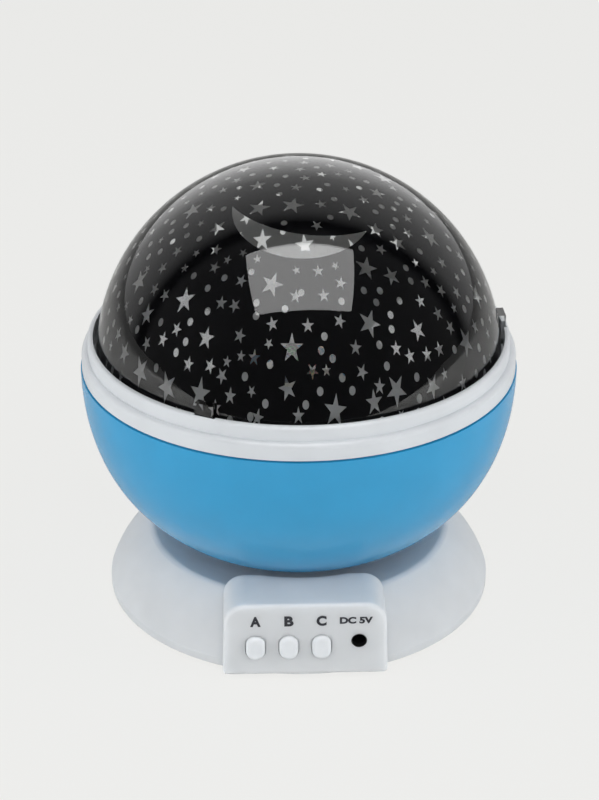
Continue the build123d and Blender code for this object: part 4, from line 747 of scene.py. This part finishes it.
def outward(azimuth, rise):
    """The direction from the dome's centre at an angle from the front and an angle above the centre."""
    a, e = radians(azimuth), radians(rise)
    return Vector((sin(a) * cos(e), -cos(a) * cos(e), sin(e)))


def on_dome(azimuth, rise):
    """A matrix that takes X, Y and Z to sideways, upwards and outwards at a place on the print."""
    out = outward(azimuth, rise)
    side = Vector((cos(radians(azimuth)), sin(radians(azimuth)), 0))
    up = out.cross(side)
    turn = Matrix((side, up, out)).transposed().to_4x4()
    return Matrix.Translation(DOME_CENTRE + FILM_R * out) @ turn


MOON_PLACE = on_dome(*MOON_SPOT) @ Matrix.Rotation(-radians(MOON_TURN), 4, "Z")


def seen_at(across, down):
    """The place on the print that the camera sees at a pixel: its two angles, in whole degrees."""
    focal = camera_data.lens / camera_data.sensor_width * VIEW_HEIGHT
    x = (across - VIEW_WIDTH / 2 + camera_data.shift_x * VIEW_HEIGHT) / focal
    y = (VIEW_HEIGHT / 2 - down + camera_data.shift_y * VIEW_HEIGHT) / focal
    ahead = camera.location + camera.rotation_quaternion @ Vector((x, y, -1))
    hits = intersect_line_sphere(camera.location, ahead, DOME_CENTRE, DOME_OUTER_R - DOME_WALL, False)
    hit = min(hits, key=lambda place: (place - camera.location).length) - DOME_CENTRE
    return round(degrees(atan2(hit.x, -hit.y))), round(degrees(asin(hit.z / hit.length)))


def drawn_out(rise):
    """How many times longer the printed sheet got, down the side, when the dome was formed."""
    return 1 + SIDE_STRETCH * ((90 - rise) / 90) ** 2


def cutter_disc(name, radius, depth, corners, place=(0, 0)):
    """A round cutter about its plane, with its axis on Z."""
    deselect()
    bpy.ops.mesh.primitive_cylinder_add(
        vertices=corners, radius=radius, depth=2 * depth, location=(*place, 0), end_fill_type="NGON"
    )
    disc = placed(bpy.context.object)
    disc.name = name
    return disc


def star_cutter(name, depth):
    """A star-shaped cutter of radius 1, a point up: a ten-sided disc, every other corner drawn in."""
    star = cutter_disc(name, 1, depth, corners=10)
    select_corners(star, lambda place: cos(5 * atan2(place.x, place.y)) < 0)
    bpy.ops.transform.resize(value=(POINT_SHARE, POINT_SHARE, 1), center_override=(0, 0, 0))
    bpy.ops.object.mode_set(mode="OBJECT")
    return star


def moon_cutter(name, depth):
    """A crescent-shaped cutter that is open upwards: a disc less a larger one that is set higher."""
    moon = cutter_disc(name, MOON_OUTER_R, depth, corners=64)
    bite = cutter_disc("bite", MOON_INNER_R, 2 * depth, corners=96, place=(0, MOON_SHIFT))
    applied(moon, "BOOLEAN", "bite", operation="DIFFERENCE", solver="EXACT", object=bite)
    bpy.data.objects.remove(bite)
    return moon


def mark_matrix(size, azimuth, rise, turn):
    """Where a mark of radius 1 goes: sized, turned clockwise, drawn out down the side, put on the print."""
    stretch = Matrix.Diagonal((size, size * drawn_out(rise), 1, 1))
    return on_dome(azimuth, rise) @ stretch @ Matrix.Rotation(-radians(turn), 4, "Z")


def in_moon(azimuth, rise, clear):
    """Whether a place on the print is in the moon or nearer to it than clear."""
    spot = (MOON_PLACE.inverted() @ on_dome(azimuth, rise).translation).xy
    bite = Vector((0, MOON_SHIFT))
    return spot.length < MOON_OUTER_R + clear and (spot - bite).length > MOON_INNER_R - clear


def placed_marks():
    """The marks whose places are given: (kind, place, turn)."""
    marks = []
    for kind, spots in SEEN_MARKS.items():
        marks += [(kind, seen_at(across, down), turn) for across, down, turn in spots]
        if kind == "large":
            marks += [(kind, (azimuth, rise), turn) for azimuth, rise, turn in BACK_STARS]
    return marks


def all_marks():
    """The placed marks and, where the print is still empty, more of each kind: (kind, place, turn)."""
    marks = placed_marks()
    spots = [(outward(*place), MARK_SIZES[kind]) for kind, place, _ in marks]
    throw = random.Random(THROW_SEED)
    for kind, tries in THROWS.items():
        size = MARK_SIZES[kind]
        for _ in range(tries):
            azimuth = throw.uniform(-180, 180)
            rise = degrees(pi / 2 - acos(throw.uniform(sin(radians(LOWEST_RISE)), 1)))
            turn = throw.choice((0, 180)) + throw.uniform(-LEAN, LEAN)
            out = outward(azimuth, rise)
            tall = size * drawn_out(rise)
            clear = all(
                (out - other).length * FILM_R > SPREAD * (tall + reach) + MARK_GAP
                for other, reach in spots
            )
            if clear and not in_moon(azimuth, rise, tall + MOON_GAP):
                marks.append((kind, (azimuth, rise), turn))
                spots.append((out, tall))
    return marks


# Masters of radius 1: a five-pointed star and a dot. The moon is wide, so it is cut deeper.
CUT_DEPTH = 1.0 * MM
MOON_CUT_DEPTH = 4.6 * MM
star_master = star_cutter("star master", CUT_DEPTH)
dot_master = cutter_disc("dot master", 1, CUT_DEPTH, corners=14)
moon = moon_cutter("moon", MOON_CUT_DEPTH)
moon.data.transform(MOON_PLACE)
cutters = [moon]
for kind, place, turn in all_marks():
    master = dot_master if kind == "dot" else star_master
    cutters.append(copy_of(master, mark_matrix(MARK_SIZES[kind], *place, turn)))
windows = joined(cutters, "windows")

deselect()
bpy.ops.mesh.primitive_uv_sphere_add(segments=96, ring_count=64, radius=FILM_R, location=DOME_CENTRE)
film = placed(bpy.context.object)
film.name = film.data.name = "star_print"
bpy.ops.object.mode_set(mode="EDIT")
bpy.ops.mesh.select_all(action="SELECT")
bpy.ops.mesh.bisect(plane_co=(0, 0, dome_low.z + FILM_LIFT), plane_no=(0, 0, 1), clear_inner=True)
bpy.ops.object.mode_set(mode="OBJECT")
applied(film, "SOLIDIFY", "ink", thickness=FILM_THICK, offset=-1)
applied(film, "BOOLEAN", "windows", operation="DIFFERENCE", solver="EXACT", use_self=True, object=windows)
for tool in (windows, star_master, dot_master):
    bpy.data.objects.remove(tool)
pick(film)
bpy.ops.object.mode_set(mode="EDIT")
bpy.ops.mesh.select_all(action="SELECT")
bpy.ops.mesh.quads_convert_to_tris(quad_method="BEAUTY", ngon_method="BEAUTY")
bpy.ops.mesh.normals_make_consistent(inside=False)
bpy.ops.object.mode_set(mode="OBJECT")
smoothed(film, 40)
dressed(film, ink, "dome")
film.data.materials.append(backing_ink)
# The faces towards the lamps take the backing ink.
select_faces(film, lambda centre, normal: (centre - DOME_CENTRE).length < FILM_R - 0.7 * FILM_THICK)
film.active_material_index = 1
bpy.ops.object.material_slot_assign()
bpy.ops.object.mode_set(mode="OBJECT")

# ---- Inside the lamps and on their board -----------------------------------------------------------
LAMP_RING_R = 4.5 * MM
LAMP_ANGLES = (-62, 28, 118, 208)
FRAME_LOW_Z = LAMP_BOARD_TOP + 0.4 * MM
FRAME_EDGE = 0.08 * MM
FRAME_THICK = 0.5 * MM
POST_X = 0.75 * MM
POST_H = 4.8 * MM
ANVIL_X = -0.55 * MM
ANVIL_W = 1.1 * MM
ANVIL_H = 4.6 * MM
ANVIL_TAPER = 0.8
CUP_R = 0.6 * MM
CUP_FOOT_R = 0.3 * MM
CUP_H = 0.7 * MM
CUP_SINK = 0.05 * MM  # how far the cup's foot is sunk into the anvil
CUP_LIP = 0.12 * MM
CUP_HOLLOW = 0.35 * MM
CUP_FLOOR_SHARE = 0.6


def block(name, centre, size, edge):
    """A block with its edges bevelled."""
    deselect()
    bpy.ops.mesh.primitive_cube_add(size=1, location=centre, scale=size)
    obj = placed(bpy.context.object)
    obj.name = name
    applied(obj, "BEVEL", "edge", width=edge, segments=2)
    return obj


def lamp_frame():
    """The two posts inside a lamp: one carries the cup with the chip, the other takes its wire."""
    anvil = block(
        "anvil",
        (ANVIL_X, 0, FRAME_LOW_Z + ANVIL_H / 2),
        (ANVIL_W, FRAME_THICK, ANVIL_H),
        FRAME_EDGE,
    )
    select_faces(anvil, lambda centre, normal: normal.x > 0.9)
    bpy.ops.transform.resize(value=(1, 1, ANVIL_TAPER), center_override=(0, 0, FRAME_LOW_Z))
    bpy.ops.object.mode_set(mode="OBJECT")
    post = block(
        "post",
        (POST_X, 0, FRAME_LOW_Z + POST_H / 2),
        (FRAME_THICK, FRAME_THICK, POST_H),
        FRAME_EDGE,
    )
    deselect()
    bpy.ops.mesh.primitive_cone_add(
        vertices=24,
        radius1=CUP_FOOT_R,
        radius2=CUP_R,
        depth=CUP_H,
        location=(ANVIL_X, 0, FRAME_LOW_Z + ANVIL_H - CUP_SINK + CUP_H / 2),
        end_fill_type="NGON",
    )
    cup = placed(bpy.context.object)
    select_faces(cup, lambda centre, normal: normal.z > 0.9)
    bpy.ops.mesh.inset(thickness=CUP_LIP)
    bpy.ops.transform.translate(value=(0, 0, -CUP_HOLLOW))
    bpy.ops.transform.resize(
        value=(CUP_FLOOR_SHARE, CUP_FLOOR_SHARE, 1), center_override=(ANVIL_X, 0, 0)
    )
    bpy.ops.object.mode_set(mode="OBJECT")
    return joined([anvil, post, cup], "lamp frame")


frame_master = lamp_frame()
lamp_frames = []
for lamp_angle in LAMP_ANGLES:
    turn = Matrix.Rotation(radians(lamp_angle), 4, "Z")
    lamp_frames.append(copy_of(frame_master, turn @ Matrix.Translation((LAMP_RING_R, 0, 0))))
bpy.data.objects.remove(frame_master)
dressed(smoothed(joined(lamp_frames, "lamp_frames")), nickel, "base")

# A small resistor: its body, and the two tinned ends that wrap round it.
CHIP_SIZE = (2.0 * MM, 1.2 * MM, 0.5 * MM)
CHIP_Z = LAMP_BOARD_TOP + 0.28 * MM
CHIP_EDGE = 0.05 * MM
END_SIZE = (0.4 * MM, 1.26 * MM, 0.56 * MM)
END_X = 0.85 * MM
END_Z = LAMP_BOARD_TOP + 0.29 * MM
END_EDGE = 0.08 * MM
CHIP_RING_R = 10.2 * MM
CHIP_STEP = 14  # degrees from a lamp to the chips at its sides

chip_body = block("chip body", (0, 0, CHIP_Z), CHIP_SIZE, CHIP_EDGE)
chip_ends = [block("chip end", (side * END_X, 0, END_Z), END_SIZE, END_EDGE) for side in (-1, 1)]
end_master = joined(chip_ends, "chip ends")
bodies, ends = [], []
for lamp_angle in LAMP_ANGLES:
    for offset in (-CHIP_STEP, CHIP_STEP):
        turn = Matrix.Rotation(radians(lamp_angle + offset), 4, "Z")
        place = turn @ Matrix.Translation((CHIP_RING_R, 0, 0)) @ Matrix.Rotation(pi / 2, 4, "Z")
        bodies.append(copy_of(chip_body, place))
        ends.append(copy_of(end_master, place))
for tool in (chip_body, end_master):
    bpy.data.objects.remove(tool)
dressed(smoothed(joined(bodies, "chip_bodies")), black_abs, "base")
dressed(smoothed(joined(ends, "chip_ends")), zinc, "base")

# ---- Nose of the power socket ----------------------------------------------------------------------
SOCKET_X = 15.6 * MM
SOCKET_Z = 12.6 * MM
NOSE_R = 2.28 * MM
NOSE_LENGTH = 1.9 * MM
NOSE_SET_BACK = 0.04 * MM
NOSE_WALL = 0.14 * MM
NOSE_EDGE = 0.04 * MM

deselect()
bpy.ops.mesh.primitive_cylinder_add(
    vertices=64,
    radius=NOSE_R,
    depth=NOSE_LENGTH,
    end_fill_type="NOTHING",
    location=(SOCKET_X, PANEL_Y + NOSE_SET_BACK + NOSE_LENGTH / 2, SOCKET_Z),
    rotation=(pi / 2, 0, 0),
)
nose = placed(bpy.context.object)
nose.name = nose.data.name = "socket_nose"
applied(nose, "SOLIDIFY", "wall", thickness=NOSE_WALL, offset=-1)
applied(nose, "BEVEL", "edge", width=NOSE_EDGE, segments=2)
dressed(smoothed(nose), black_abs, "base")

# ---- Markings on the control box -------------------------------------------------------------------
MARK_Z = 19.6 * MM
STROKE_SWELL = 0.03  # how much bolder the letters are drawn, as a share of the font's size
LETTER_THICK = 0.01
LETTER_EDGE = 0.02
INK_SCALE = 1.2 * MM  # what a font's size comes to in the ink's thickness

# The markings: words, the middle's X, width and height, in millimetres.
MARKINGS = (
    ("A", -14.5, 3.1, 3.45),
    ("B", -4.8, 2.7, 3.45),
    ("C", 4.65, 2.9, 3.45),
    ("DC 5V", 14.7, 9.6, 2.3),
)


def marking(words, centre_x, width, height):
    """Words in the plain built-in font, made a mesh, then fitted to a width and height on the panel."""
    deselect()
    bpy.ops.object.text_add()
    text = bpy.context.object
    text.data.body = words
    text.data.offset = STROKE_SWELL
    text.data.extrude = LETTER_THICK
    text.data.bevel_depth = LETTER_EDGE
    text.data.bevel_resolution = 0
    pick(text)
    bpy.ops.object.convert(target="MESH")
    mark = bpy.context.object
    xs, ys, _ = zip(*(v.co for v in mark.data.vertices))
    middle = Vector(((max(xs) + min(xs)) / 2, (max(ys) + min(ys)) / 2, 0))
    scale = Matrix.Diagonal((width / (max(xs) - min(xs)), height / (max(ys) - min(ys)), INK_SCALE, 1))
    upright = Matrix.Rotation(pi / 2, 4, "X")
    place = Matrix.Translation((centre_x, PANEL_Y, MARK_Z))
    mark.data.transform(place @ upright @ scale @ Matrix.Translation(-middle))
    return mark


markings = joined(
    [marking(words, x * MM, width * MM, height * MM) for words, x, width, height in MARKINGS],
    "box_markings",
)
dressed(markings, pad_ink, "base")

bpy.context.view_layer.update()
